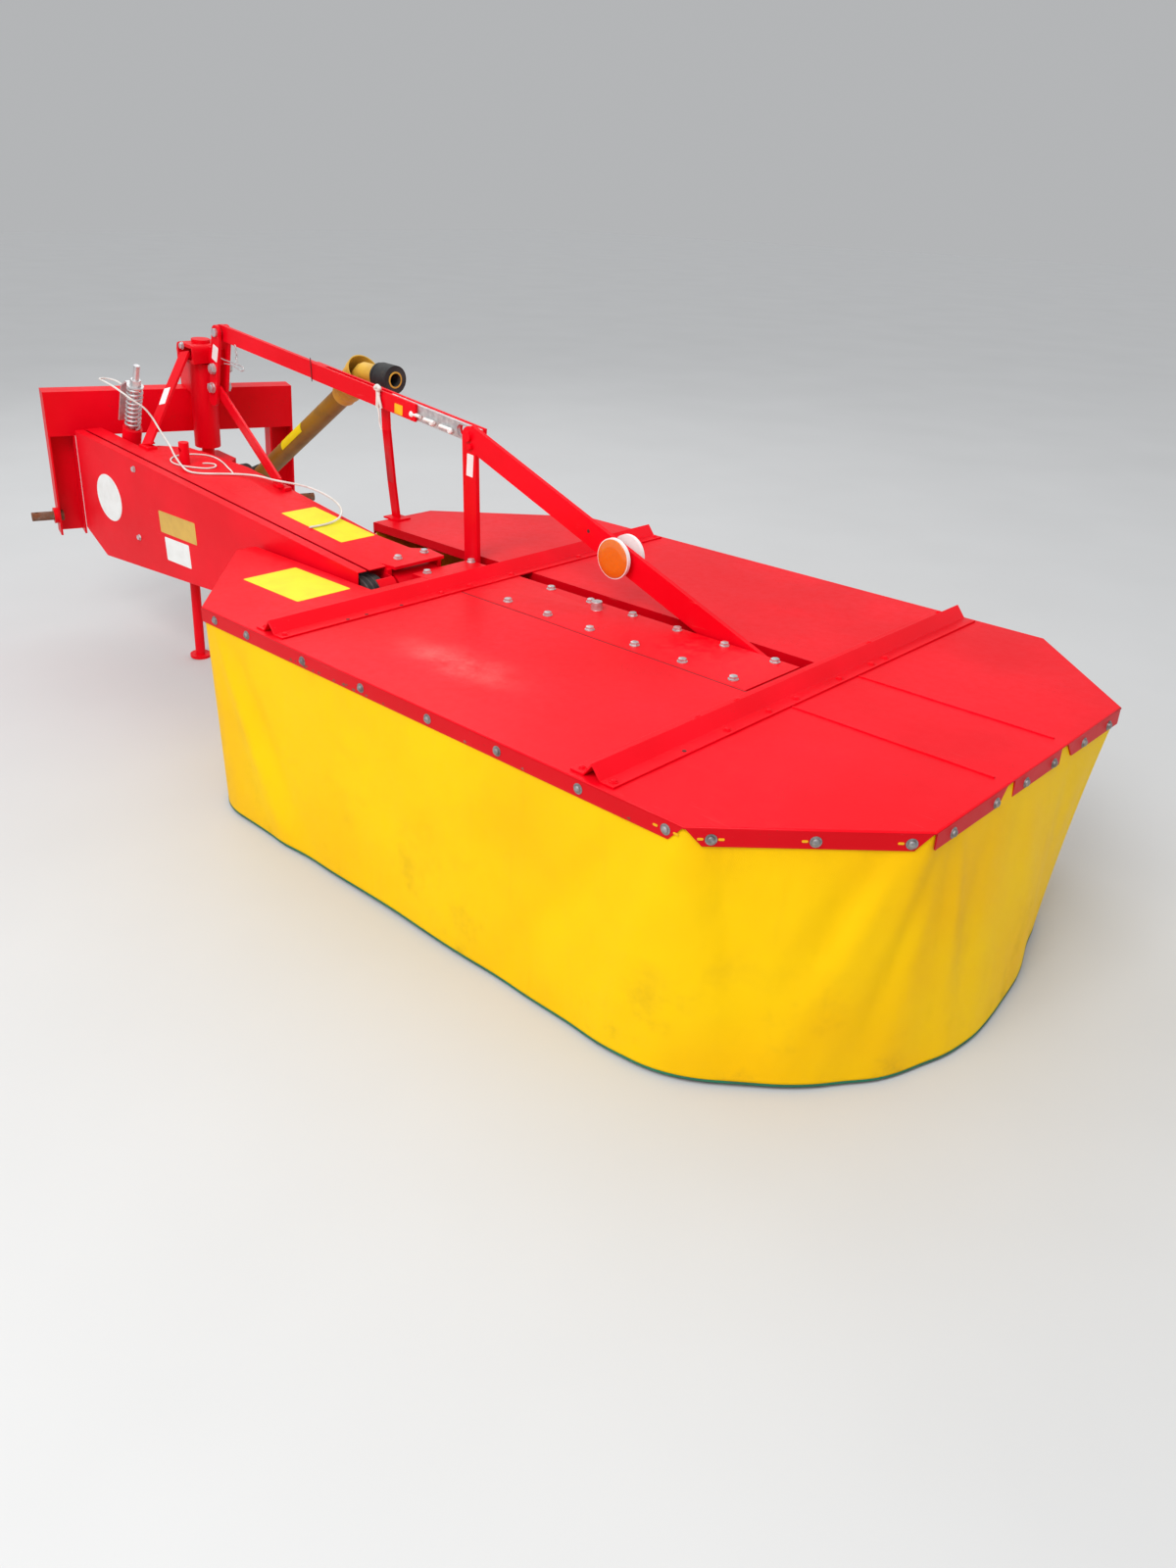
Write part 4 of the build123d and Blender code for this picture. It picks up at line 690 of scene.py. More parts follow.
rope_piece = rope("latch_rope_strands", ROPE_ROUTE, ROPE_THICK, ROPE_PITCH, length=ROPE_LENGTH,
                  far_end="bare", stiffness="limp")
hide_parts("latch_rope")
rope("latch_rope_loop", LOOP_ROUTE, LOOP_THICK, LOOP_PITCH, length=LOOP_LENGTH, far_end="bare",
     stiffness="limp")

# %% [markdown]
# The skirt is coated cloth that hangs from bolts inside the rim. Its plan is the deck's octagon at the top
# and a wider loop at the hem, which the table shifts corner by corner.

# %% The skirt's two outlines
SKIRT_COLUMNS = 960
SKIRT_ROWS = 56
SKIRT_TOP = 0.5104
SKIRT_BOTTOM = 0.007
SKIRT_INSET = 0.0033
SKIRT_PASSAGE = 0.318
PASSAGE_NEAR = -0.271
PASSAGE_FAR = 0.120
CLOTH_THICK = 0.002
CLOTH_RUN = 6.0
THREAD_PITCH = 0.0016
SKIRT_CORNERS = ((0.0, -0.328), (0.354, -0.635), (1.777, -0.635), (2.060, -0.363),
                 (2.060, 0.363), (1.777, 0.635), (0.354, 0.635), (0.0, 0.328))
# corner of the rim, share of the way to the next corner, and the hem's shift from there in X and Y
SKIRT_HEM = (
    (0, 0, 0, -0.008), (1, 0, 0, -0.008), (1, 0.94, 0, -0.008), (2, 0, -0.003, 0.004),
    (2, 0.5, 0.016, -0.008), (3, 0, -0.016, 0.002), (3, 0.24, 0.0416, 0), (3, 0.39, 0.040, 0),
    (3, 0.68, 0.007, 0), (4, 0, -0.046, -0.036), (4, 0.5, -0.012, -0.006), (5, 0, 0, 0.006),
    (6, 0, 0, 0.008), (7, 0, 0, 0.008),
)


def rim_corners(inset=0.0):
    """Corners of the deck's outline, all drawn towards its middle so that the sides move in by the inset."""
    corners = np.array(SKIRT_CORNERS) + [DECK_LOW[0], 0]
    middle = (corners.min(0) + corners.max(0)) / 2
    reach = (corners.max(0) - corners.min(0)) / 2
    return middle + (corners - middle) * (1 - inset / reach)


def skirt_outlines():
    """The rim and the hem point for point: places on the octagon's sides, and the same places shifted."""
    corners = rim_corners(SKIRT_INSET)
    table = np.array(SKIRT_HEM)
    here = table[:, 0].astype(int)
    share = table[:, 1:2]
    rim = corners[here] * (1 - share) + corners[(here + 1) % len(corners)] * share
    return rim, rim + table[:, 2:]


print("the skirt's outlines have", len(SKIRT_HEM), "points")

# %% [markdown]
# Each height mixes the two outlines and averages the mix along its length, more so lower down, which rounds
# the corners. Folds are ridges and valleys that fade in below the bolts, placed where the cloth is seen to
# buckle.

# %% The skirt's folds


def walk(corners, steps):
    """Points along a closed outline, where step 2.5 is half way from its point 2 to point 3."""
    loop = np.concatenate([corners, corners[:1]])
    return stepped(loop, np.arange(len(loop)), steps)


def averaged(loop, window):
    """A closed outline averaged over a share of its length: each wave is damped as an average damps it."""
    waves = np.fft.fftfreq(len(loop), 1 / len(loop))
    return np.fft.ifft(np.fft.fft(loop, axis=0) * np.sinc(waves * window)[:, None], axis=0).real


# centre along the rim in metres, drift by the hem, width, depth (outwards is positive), and the start as a
# share of the fall
FOLDS = (
    (0.49, 0.24, 0.030, 0.0075, 0.02), (0.55, 0.28, 0.040, -0.0060, 0.06), (0.80, 0.10, 0.060, 0.0025, 0.10),
    (1.05, 0.10, 0.120, -0.0022, 0.20), (1.42, -0.12, 0.110, 0.0030, 0.30),
    (1.80, -0.34, 0.050, -0.0085, 0.02), (1.87, -0.14, 0.040, 0.0095, 0.00),
    (1.93, 0.10, 0.035, -0.0085, 0.04), (2.02, 0.22, 0.060, 0.0070, 0.10),
    (2.20, -0.16, 0.050, -0.0080, 0.06), (2.26, -0.22, 0.040, 0.0085, 0.00),
    (2.31, -0.10, 0.030, -0.0090, 0.02), (2.37, 0.05, 0.030, 0.0090, 0.04),
    (2.47, -0.06, 0.045, -0.0075, 0.05), (2.62, 0.10, 0.060, 0.0075, 0.10),
    (2.80, 0.06, 0.050, -0.0080, 0.05), (2.98, -0.08, 0.060, -0.006, 0.10), (3.18, 0.12, 0.050, 0.006, 0.10),
    (3.62, 0.06, 0.080, -0.004, 0.20), (4.10, -0.10, 0.090, 0.004, 0.25), (4.55, 0.10, 0.070, -0.004, 0.20),
    (4.98, 0.06, 0.040, 0.006, 0.05), (5.25, -0.08, 0.060, -0.004, 0.20),
)
MOST_AVERAGED = 0.024
SWAY_DEPTH = 0.0007
HEM_WAVE = 0.0018


def skirt_points():
    """The skirt's grid: mixed and averaged outlines, with each fold a bell curve that leans as it falls.
    A fold's depth rises from its start to its deepest and falls to under half of that at the hem."""
    rim, hem = skirt_outlines()
    run = run_along(np.concatenate([rim, rim[:1]]))
    place = np.linspace(0, run[-1], SKIRT_COLUMNS, endpoint=False)
    steps = np.interp(place, run, np.arange(len(run)))
    top_loop, hem_loop = walk(rim, steps), walk(hem, steps)
    fall = np.linspace(0, 1, SKIRT_ROWS) ** 0.9
    windows = 0.002 + MOST_AVERAGED * fall ** 0.7
    loops = np.stack([averaged(top_loop * (1 - f) + hem_loop * f, w) for f, w in zip(fall, windows)])
    ahead = unit(np.roll(loops, -1, axis=1) - np.roll(loops, 1, axis=1))
    out = outward(ahead)
    push = np.zeros((SKIRT_ROWS, SKIRT_COLUMNS))
    for centre, slope, width, depth, start in FOLDS:
        away = (place[None, :] - centre - slope * fall[:, None] + run[-1] / 2) % run[-1] - run[-1] / 2
        grown = np.clip((fall - start) / (1 - start), 0, 1)[:, None]
        push += depth * np.exp(-(away / (width * (0.5 + grown))) ** 2) * np.sin(grown * math.pi / 1.15)
    way_round = place * 2 * math.pi / run[-1]
    sway = np.sin(way_round * 9 + 1.0) + 0.6 * np.sin(way_round * 23 + 2.2)
    push += SWAY_DEPTH * sway[None, :] * fall[:, None] ** 1.5
    loops = loops + out * push[..., None]
    at_end = top_loop[:, 0] < DECK_LOW[0] + 0.02
    inside = at_end & (top_loop[:, 1] > PASSAGE_NEAR) & (top_loop[:, 1] < PASSAGE_FAR)
    upper = np.where(inside, SKIRT_PASSAGE, SKIRT_TOP)
    lower = SKIRT_BOTTOM + HEM_WAVE * (1 + np.sin(place * 7.1))
    height = upper[None, :] * (1 - fall[:, None]) + lower[None, :] * fall[:, None]
    return np.concatenate([loops, height[..., None]], -1)


print("folds", len(FOLDS))

# %% [markdown]
# Cloth is woven: one sine across and one along, multiplied, make a cell for each crossing of threads.
# Grime gathers low down and in patches, and faint streaks run downwards.

# %% The skirt's cloth


def skirt_cloth():
    """Coated cloth: woven threads under a smooth coat, grime towards the hem and in patches."""
    cloth = Finish("skirt_cloth", Coat_Roughness=0.3, Specular_IOR_Level=0.07)
    cloud = cloth.noise(2.2, 3)
    smudge = cloth.noise(7, 6, 0.7)
    low = 1 - cloth.along("Z").between(0.02, 0.30)
    tone = cloth.mix(cloud.between(0.3, 0.7), (0.96, 0.52, 0.0), (1.0, 0.62, 0.0))
    grime = smudge.between(0.50, 0.78) * (0.08 + 0.30 * low)
    streak = cloth.noise(1.0, 4, 0.6, place=cloth.mapped((26, 26, 3))).between(0.58, 0.80)
    tone = cloth.mix(grime, tone, (0.34, 0.15, 0.02))
    tone = cloth.mix(streak * 0.12, tone, (0.42, 0.19, 0.01))
    cloth.feed("Base Color", tone)
    cloth.feed("Roughness", 0.38 + 0.16 * smudge + 0.2 * grime)
    cloth.feed("Coat Weight", 0.03 * (1 - grime))
    threads = cloth.node("ShaderNodeUVMap")
    weave = [(cloth.along(axis, threads) * (2 * math.pi / THREAD_PITCH)).sine() for axis in "XY"]
    drape = cloth.noise(1.0, 3, 0.45, place=cloth.mapped((5.5, 5.5, 2.2), turn=(0.25, -0.3, 0.0)))
    cloth.relief(weave[0] * weave[1] * 0.015 + cloth.noise(12, 3) * 0.22 + drape * 1.6, 0.022, 0.75)
    return cloth.material


SKIRT_CLOTH = skirt_cloth()
print("cloth", SKIRT_CLOTH.name)

# %% [markdown]
# The grid becomes a mesh, and a modifier gives it the cloth's thickness. Its threads are mapped by its flat
# size, and its green tape follows the hem.

# %% The skirt, hung
TAPE_SECTION = ((-0.0028, -0.001), (0.0005, -0.0014), (0.0005, 0.0032), (-0.0028, 0.0032), (-0.0028, -0.001))


def hang_skirt():
    """The skirt, its threads mapped by its flat size, and its green hem tape."""
    grid = skirt_points()
    body = body_of_node["skirt"]
    shape = sheet_of(grid[::-1], wrap=True)
    skirt = piece("skirt_cloth_hung", [shape], body, SKIRT_CLOTH, 80)
    run = np.linspace(0, CLOTH_RUN, SKIRT_COLUMNS, endpoint=False)
    flat = np.stack(np.broadcast_arrays(run[None, :], grid[::-1, :, 2]), -1).reshape(-1, 2)
    corner = np.empty(len(skirt.data.loops), np.int32)
    skirt.data.loops.foreach_get("vertex_index", corner)
    skirt.data.uv_layers.new(name="threads").data.foreach_set("uv", flat[corner].ravel().astype(np.float32))
    wall = skirt.modifiers.new("cloth_thickness", "SOLIDIFY")
    wall.thickness = CLOTH_THICK
    wall.offset = -1
    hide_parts("skirt")
    hem = grid[-1]
    ahead = unit(np.roll(hem, -1, axis=0) - np.roll(hem, 1, axis=0))
    out = np.column_stack([outward(ahead), np.zeros(len(hem))])
    tape = np.stack([hem + out * offset + [0, 0, z] for offset, z in TAPE_SECTION])
    tape_piece = piece("skirt_hem_tape", [sheet_of(tape, wrap=True)], body, GREEN_TAPE)
    lengths = np.linalg.norm(np.diff(np.concatenate([grid, grid[:, :1]], 1), axis=1), axis=2).sum(1)
    height = SKIRT_TOP - SKIRT_BOTTOM
    passage = (PASSAGE_FAR - PASSAGE_NEAR) * (SKIRT_TOP - SKIRT_PASSAGE)
    float(lengths.mean() * height - passage)


hang_skirt()

# %% [markdown]
# Bolts tell the eye how large a machine is. One profile makes a hexagon head on its washer, another a domed
# head on a wide washer, and each is copied to its places with its own axes.

# %% Bolts


def hex_head(washer, thick, head, top, cap, sides=24):
    """A six-sided head on a round washer: each one's radius and upper height, then the head's eased top."""
    return turned([(washer, 0), (washer, thick), (head, thick), (head, top), cap], sides, (2, 3))


HEX_BOLT = hex_head(0.0112, 0.0020, 0.0082, 0.0078, (0.0072, 0.0087))
SMALL_HEX = hex_head(0.0095, 0.0016, 0.0068, 0.0066, (0.0060, 0.0073), 12)
BIG_HEX = hex_head(0.0165, 0.003, 0.0140, 0.012, (0.0125, 0.0135))
DOMED_BOLT = turned([(0.0100, 0), (0.0098, 0.0012), (0.0070, 0.0014), (0.0066, 0.0040), (0.0048, 0.0056),
                     (0.0020, 0.0062)], 20)
PAINTED_DOME = turned([(0.0082, 0), (0.0080, 0.0012), (0.0060, 0.0014), (0.0054, 0.0034),
                       (0.0030, 0.0046)], 16)
HOLE_DISC = turned([(0.0042, 0), (0.0042, 0.0004)], 14)
UP = (0, 0, 1)
NEAR = (0, -1, 0)
FAR = (0, 1, 0)


def facing(point, out, turn_by=0.0):
    """Axes at a point with z outwards, turned about it."""
    out = unit(out)
    start = np.cross(out, (0, 0, 1)) if abs(out[2]) < 0.9 else np.array([1.0, 0, 0])
    side = np.cross(out, unit(start))
    return axes(point, math.cos(turn_by) * unit(start) + math.sin(turn_by) * side, out)


def bolts(name, shape, places, out, body, finish=ZINC, slot="galvanised"):
    """Copies of one bolt at its places, each turned differently about its axis."""
    places = np.atleast_2d(places)
    outs = np.broadcast_to(out, places.shape)
    copies = [moved(shape, facing(p, o, 0.7 * i)) for i, (p, o) in enumerate(zip(places, outs))]
    return piece(name, copies, body, finish, 35)


COVER_PITCH = 0.133
cover_places = [(0.029, 0.062, DECK_TOP), (0.029, -0.084, DECK_TOP)]
cover_places += [(0.330 + COVER_PITCH * step, y, DECK_TOP) for step in range(6) for y in (0.056, -0.087)]
bolts("gear_cover_bolts", HEX_BOLT, cover_places, UP, "cutting_unit")

RIM_SIDE_Z = 0.496
RIM_END_Z = 0.491
RIM_SIDE_X = (-0.048, 0.083, 0.294, 0.494, 0.700, 0.892, 1.092, 1.283)
RIM_CUT_RUN = (0.044, 0.207, 0.357)
RIM_INNER_RUN = (0.060, 0.234, 0.410)
RIM_END_Y = (-0.303, -0.156, -0.045, 0.066, 0.195, 0.310)


def rim_places():
    """Places and outward ways of the rim's bolts: the near side's are measured, the far side mirrors them."""
    corners = rim_corners()
    near = [((x, corners[1][1]), (0, -1), RIM_SIDE_Z) for x in RIM_SIDE_X]
    for first, second, runs in ((2, 3, RIM_CUT_RUN), (0, 1, RIM_INNER_RUN)):
        ahead = unit(corners[second] - corners[first])
        near += [(corners[first] + run * ahead, outward(ahead), RIM_SIDE_Z - 0.003) for run in runs]
    rows = near + [((x, -y), (a, -b), z) for (x, y), (a, b), z in near]
    rows += [((corners[3][0], y), (1, 0), RIM_END_Z) for y in RIM_END_Y]
    return np.array([(x, y, z) for (x, y), _, z in rows]), np.array([(a, b, 0) for _, (a, b), _ in rows])


places, outs = rim_places()
bolts("rim_bolts", DOMED_BOLT, places, outs, "cutting_unit", DULL_ZINC)
print("bolts", len(cover_places), "on the cover,", len(places), "round the rim")

# %% [markdown]
# Painted domes hold the flanges of the cross-members, and dark discs in open bolt holes are painted shade.
# Seams are narrow strips on the deck's top that sway a little, a dark strip beside the gear cover is painted
# shadow in the gap at its edge, and small ragged outlines make the chips along the rim.

# %% Bolts, holes and seams of the deck
FLANGE_TOP = DECK_TOP + 0.004
OUTER_MEMBER_X = 1.1084
FLANGE_OUT = 0.036
PAINTED_ROWS = (
    (OUTER_MEMBER_X + FLANGE_OUT, (-0.605, -0.300, -0.173, -0.083, 0.070, 0.190, 0.245)),
    (OUTER_MEMBER_X - FLANGE_OUT, (-0.605, -0.293, -0.173, 0.300, 0.605)),
    (0.187, (-0.605, -0.170, -0.080, 0.058, 0.300, 0.605)),
    (0.115, (-0.605, 0.605)),
)
painted = [(x, y, FLANGE_TOP) for x, row in PAINTED_ROWS for y in row]
bolts("cross_member_bolts", PAINTED_DOME, painted, UP, "cutting_unit", PAINT, "red_paint")
# dark discs stand for open bolt holes: painted shade inside them
holes = [(0.196, y, FLANGE_TOP) for y in (-0.447, -0.396, -0.297)]
holes.append((OUTER_MEMBER_X + 0.04, -0.428, FLANGE_TOP))
bolts("cross_member_holes", HOLE_DISC, holes, UP, "cutting_unit", DARK_JOINT_AND_SHADE, "red_paint")


def strip(along, across, section, sway, waves):
    """A strip on the deck's top: a section of (offset, height) along a line that sways as a sine."""
    offset, height = np.array(section).T[:, :, None]
    return sheet_of(spread(along, across + offset + sway * np.sin(along * waves), DECK_TOP + height))


SEAM_Y = 0.117
SEAM_HALF = 0.0023
SEAM_HEIGHT = 0.0028
SEAM_FORM = ((-1.0, -0.2), (-0.8, 0.8), (-0.3, 1.0), (0.3, 1.0), (0.8, 0.8), (1.0, -0.2))
seam_along = np.linspace(1.160, 1.574, 40)
seam_section = np.array(SEAM_FORM) * (SEAM_HALF, SEAM_HEIGHT)
seams = [strip(seam_along, y, seam_section, 0.0004, 31) for y in (-SEAM_Y, SEAM_Y)]
piece("deck_seams", seams, "cutting_unit", PAINT)

# painted shadow: a dark strip beside the gear cover stands for the shadow in the gap along its edge
GAP_SHADOW_SECTION = ((-0.0009, -0.0002), (-0.0007, 0.0005), (0.0007, 0.0005), (0.0009, -0.0002))
cover_gap_shadow = strip(np.linspace(0.203, 1.055, 60), -0.1205, GAP_SHADOW_SECTION, 0.0006, 17)
piece("gear_cover_gap_shadow", [cover_gap_shadow], "cutting_unit", DARK_JOINT_AND_SHADE)

# the bolt holes of the rim are slots, and the cloth shows through beside some of the bolts, darker than the
# skirt as painted shade behind the rim
CUT_FROM, CUT_TO = rim_corners()[2:4]
cut_ahead = unit(CUT_TO - CUT_FROM)
cut_out = outward(cut_ahead)
SLOT_OUT = 0.0003
slots = [((x, -DECK_HALF - SLOT_OUT, z), NEAR) for x, z in ((1.262, 0.4955), (1.304, 0.4962))]
for run in (0.027, 0.060, 0.190, 0.340):
    slots.append(((*(CUT_FROM + run * cut_ahead + SLOT_OUT * cut_out), 0.4935), (*cut_out, 0)))
slot_shapes = [moved(slab(rounded(0.010, 0.0042, 0.002), -0.0004, 0.0004), facing(p, o)) for p, o in slots]
# place along the rim and height in metres, size in millimetres
CHIPS = (
    (0.251, 0.4868, 3.0), (0.268, 0.4880, 2.0), (0.300, 0.4855, 3.6), (0.309, 0.4880, 2.4),
    (0.331, 0.4850, 2.2), (0.352, 0.4865, 3.0), (0.404, 0.4852, 2.6), (0.437, 0.4862, 3.8),
    (0.447, 0.4885, 2.2), (0.470, 0.4850, 3.2), (0.512, 0.4856, 2.4), (0.566, 0.4850, 2.0),
    (0.806, 0.4852, 2.6), (0.958, 0.4851, 2.2), (1.206, 0.4853, 2.4),
)
CHIP_SIDES = 11
turn = circle(CHIP_SIDES)
chips = []
for number, (x, z, size) in enumerate(CHIPS):
    ragged = size / 1000 * (1 + 0.45 * np.sin(3 * turn + number) + 0.25 * np.sin(5 * turn + 2 * number))
    blot = oval(1.5 * ragged, 0.8 * ragged, CHIP_SIDES)
    chips.append(moved(slab(blot, -0.0002, 0.00025), facing((x, -DECK_HALF, z), NEAR)))
piece("rim_chips", chips, "cutting_unit", RUSTY)
# cloth in the rim's slots, darker than the skirt's own colour: painted shade
SHADED_SLOT_CLOTH = moulded("cloth_in_slots_painted_shade", (0.80, 0.40, 0.0), (0.62, 0.30, 0.005), 0.6)
piece("rim_slots", slot_shapes, "cutting_unit", SHADED_SLOT_CLOTH)
print("painted bolts", len(painted), "holes", len(holes), "slots", len(slots))

# %% [markdown]
# Places on the arm are written in its own axes, and one call turns them into the whole object's axes.

# %% Bolts of the arm, the tower and the stays
ARM_TOP = 0.078
COVER_NEAR = -0.258
TOWER_NEAR = 0.106
TOWER_FAR = 0.151
FRAME_NEAR = 0.080
YOKE_NEAR = 0.062
ARM_BOLTS = (
    ("arm_plate_bolts", HEX_BOLT, [(-0.015, -0.029, ARM_TOP), (-0.015, -0.114, ARM_TOP)], ARM[:, 2], "arm"),
    ("belt_cover_bolts", SMALL_HEX, [(-1.083, COVER_NEAR, 0.050), (-1.091, COVER_NEAR, -0.162)], NEAR, "arm"),
    ("tower_bolts", BIG_HEX, [(-1.220, TOWER_NEAR, 0.282), (-1.232, TOWER_NEAR, 0.222)], NEAR, "arm"),
    ("tower_far_bolts", BIG_HEX, [(-1.220, TOWER_FAR, 0.282), (-1.232, TOWER_FAR, 0.222)], FAR, "arm"),
    ("tension_frame_bolt", SMALL_HEX, [(0.0255, FRAME_NEAR, 0.345)], NEAR, "cutting_unit", PAINT,
     "red_paint"),
    # a dark disc for an open hole in the diagonal: painted shade inside it
    ("diagonal_hole", HOLE_DISC, [(0.447, FRAME_NEAR, 0.251)], NEAR, "cutting_unit", DARK_JOINT_AND_SHADE,
     "red_paint"),
)
for name, shape, places, *rest in ARM_BOLTS:
    bolts(name, shape, put(ARM, places), *rest)
bolts("yoke_bolt", HEX_BOLT, [(-1.330, YOKE_NEAR, 0.910)], NEAR, "arm")
foot_places = [(-1.176, -0.148, 0.0905), (-0.629, -0.050, 0.0885)]
bolts("stay_foot_bolts", HEX_BOLT, put(ARM, foot_places), ARM[:, 2], "arm", PAINT, "red_paint")
print("bolts on the arm in", len(ARM_BOLTS) + 2, "sets")

# %% [markdown]
# A sticker is a thin slab of vinyl, placed by its middle, the way its width runs and the way it faces.
# The last one is bent round the shaft's tube.

# %% Stickers
VINYL_THICK = 0.0006
BADGE_THICK = 0.0008


def on_arm(x, y, z, along, out):
    """Axes on the arm: a point and two directions in the arm's own axes."""
    return axes(put(ARM, (x, y, z)), ARM[:, :3] @ along, ARM[:, :3] @ out)


def sticker(name, outline, place, finish, body="arm", thick=VINYL_THICK):
    """A plain sticker: its outline as a thin slab, x along the width and z outwards."""
    return piece(name, [moved(slab(outline, 0, thick, thick / 2), place)], body, finish)


STICKERS = (
    ("deck_sticker", rounded(0.232, 0.150, 0.004), axes((-0.107, -0.378, DECK_TOP), (1, 0, 0), UP),
     YELLOW_VINYL, "cutting_unit"),
    ("arm_sticker", rounded(0.272, 0.108, 0.004), on_arm(-0.320, -0.110, ARM_TOP, (1, 0, 0), UP),
     YELLOW_VINYL),
    ("round_badge", oval(0.077, 0.072, 48), on_arm(-1.264, COVER_NEAR, -0.086, (1, 0, 0.09), NEAR),
     WHITE_VINYL, "arm", BADGE_THICK),
    ("side_plate", rounded(0.205, 0.064, 0.004), on_arm(-0.853, COVER_NEAR, -0.062, (1, 0, 0.09), NEAR),
     AMBER_VINYL),
    ("side_label", rounded(0.138, 0.070, 0.004), on_arm(-0.862, COVER_NEAR, -0.141, (1, 0, 0.10), NEAR),
     WHITE_VINYL),
    ("tower_sticker", rounded(0.048, 0.030, 0.004), on_arm(-1.2065, TOWER_NEAR, 0.331, (0.30, 0, 1), NEAR),
     WHITE_VINYL),
    ("post_sticker", rounded(0.056, 0.024, 0.002), on_arm(0.0255, FRAME_NEAR, 0.298, UP, NEAR),
     WHITE_VINYL, "cutting_unit"),
    ("stay_sticker", rounded(0.062, 0.026, 0.002),
     axes((-1.2615, -0.0545, 0.7768), (-0.0265, 0.0407, 0.0452), (0.06, -0.72, 0.69)), WHITE_VINYL),
    ("link_sticker", rounded(0.034, 0.026, 0.002),
     axes((-0.288, 0.0938, 0.851), (1, -0.014, -0.10), (-0.014, -1, 0)), ORANGE_VINYL),
)
for row in STICKERS:
    sticker(*row)

TUBE_AT = np.array([-0.6831, 0.1984, 0.8272])
TUBE_TO = np.array([-1.2319, 0.2432, 0.5035])
TUBE_RADIUS = 0.0290
tube_line = axes(TUBE_AT, (0, -1, 0), TUBE_TO - TUBE_AT)
label_turn = np.linspace(math.radians(-12), math.radians(50), 14)[:, None]
label_grid = lathe(TUBE_RADIUS + VINYL_THICK, label_turn, np.linspace(0.245, 0.400, 24))
piece("tube_sticker", [moved(sheet_of(label_grid), tube_line)], "arm", YELLOW_VINYL)
print("stickers", len(STICKERS) + 1)

# %% [markdown]
# Wire is a tube along a rounded line. It makes the tower's spring clip, and a chain of ovals that stand
# square to one another hangs beside it.

# %% Clip and chain of the tower


def wire(points, radius, body, name, finish):
    """A wire bent along points: straight lines between them, rounded by a weighted moving average."""
    points = np.asarray(points, float)
    path = stepped(points, np.arange(len(points)), np.linspace(0, len(points) - 1, 12 * len(points)))
    weights = np.hanning(13)[1:-1]
    weights = weights / weights.sum()
    padded = np.concatenate([np.repeat(path[:1], 5, 0), path, np.repeat(path[-1:], 5, 0)])
    smooth = np.column_stack([np.convolve(column, weights, "valid") for column in padded.T])
    return piece(name, [tube(smooth, radius, 8, above=(0.3, 0.4, 1))], body, finish)


# the clip comes out of the yoke between the tower's plates, and its chain hangs from the link's lower edge
CLIP_AT = np.array([-1.2195, 0.116, 0.886])
clip_leg = [
    (0.0, 0, 0), (0.033, 0, -0.006), (0.070, 0, -0.009), (0.105, -0.001, -0.012), (0.135, -0.002, -0.013),
    (0.151, -0.002, -0.017), (0.152, -0.003, -0.026), (0.138, -0.003, -0.029), (0.112, -0.003, -0.021),
    (0.078, -0.003, -0.016), (0.040, -0.003, -0.017),
]
wire(CLIP_AT + np.array(clip_leg), 0.0018, "arm", "tower_clip", ZINC)
CHAIN_LINKS = 6
CHAIN_PITCH = 0.0092
CHAIN_WIRE = 0.0011
around = np.linspace(0, 2 * math.pi, 14)
link = np.column_stack([0.0062 * np.cos(around), 0.0036 * np.sin(around), 0 * around])
chain = []
for step in range(CHAIN_LINKS):
    hang = np.array([0.1105 + 0.002 * math.sin(step * 0.7), 0.0005, 0.0385 - CHAIN_PITCH * step])
    lean = axes(CLIP_AT + hang, (0.1, 0.1, -1), (1, 0, 0.1) if step % 2 else (0, 1, 0.1))
    chain.append(tube(put(lean, link), CHAIN_WIRE, 6, above=lean[:, 2]))
piece("tower_chain", chain, "arm", ZINC)
print("chain of", CHAIN_LINKS, "links")

# %% [markdown]
# Twine ties the shaft to the link in three turns, with a knot on top and an end that hangs down.

# %% Twine round the link
LINK_TIE = np.array([-0.368, 0.0925, 0.870])
for number, (shift, lean) in enumerate(((0.0, 0.004), (0.006, -0.005), (-0.006, 0.003))):
    loop = [(shift, -0.0025, 0.030), (shift + lean, -0.0030, 0.012), (shift, -0.0030, -0.008),
            (shift - lean, -0.0025, -0.026)]
    wire(LINK_TIE + np.array(loop), 0.0036, "arm", "link_tie_%d" % number, TWINE)
KNOT = [(-0.008, -0.004, 0.026), (0.004, -0.008, 0.033), (0.013, -0.006, 0.027), (0.004, -0.004, 0.021),
        (-0.006, -0.007, 0.026), (0.002, -0.009, 0.031)]
TAIL = [(-0.001, -0.004, -0.024), (0.005, -0.006, -0.044), (0.003, -0.005, -0.064), (0.009, -0.004, -0.082)]
wire(LINK_TIE + np.array(KNOT), 0.0056, "arm", "link_tie_knot", TWINE)
wire(LINK_TIE + np.array(TAIL), 0.0026, "arm", "link_tie_tail", TWINE)
print("twine from", LINK_TIE)

# %% [markdown]
# White clips hold the link's strip, and a dark line marks its clamp. The shaft shows the ring of its joint
# and the ring of its bore, and the near reflector has its lens.

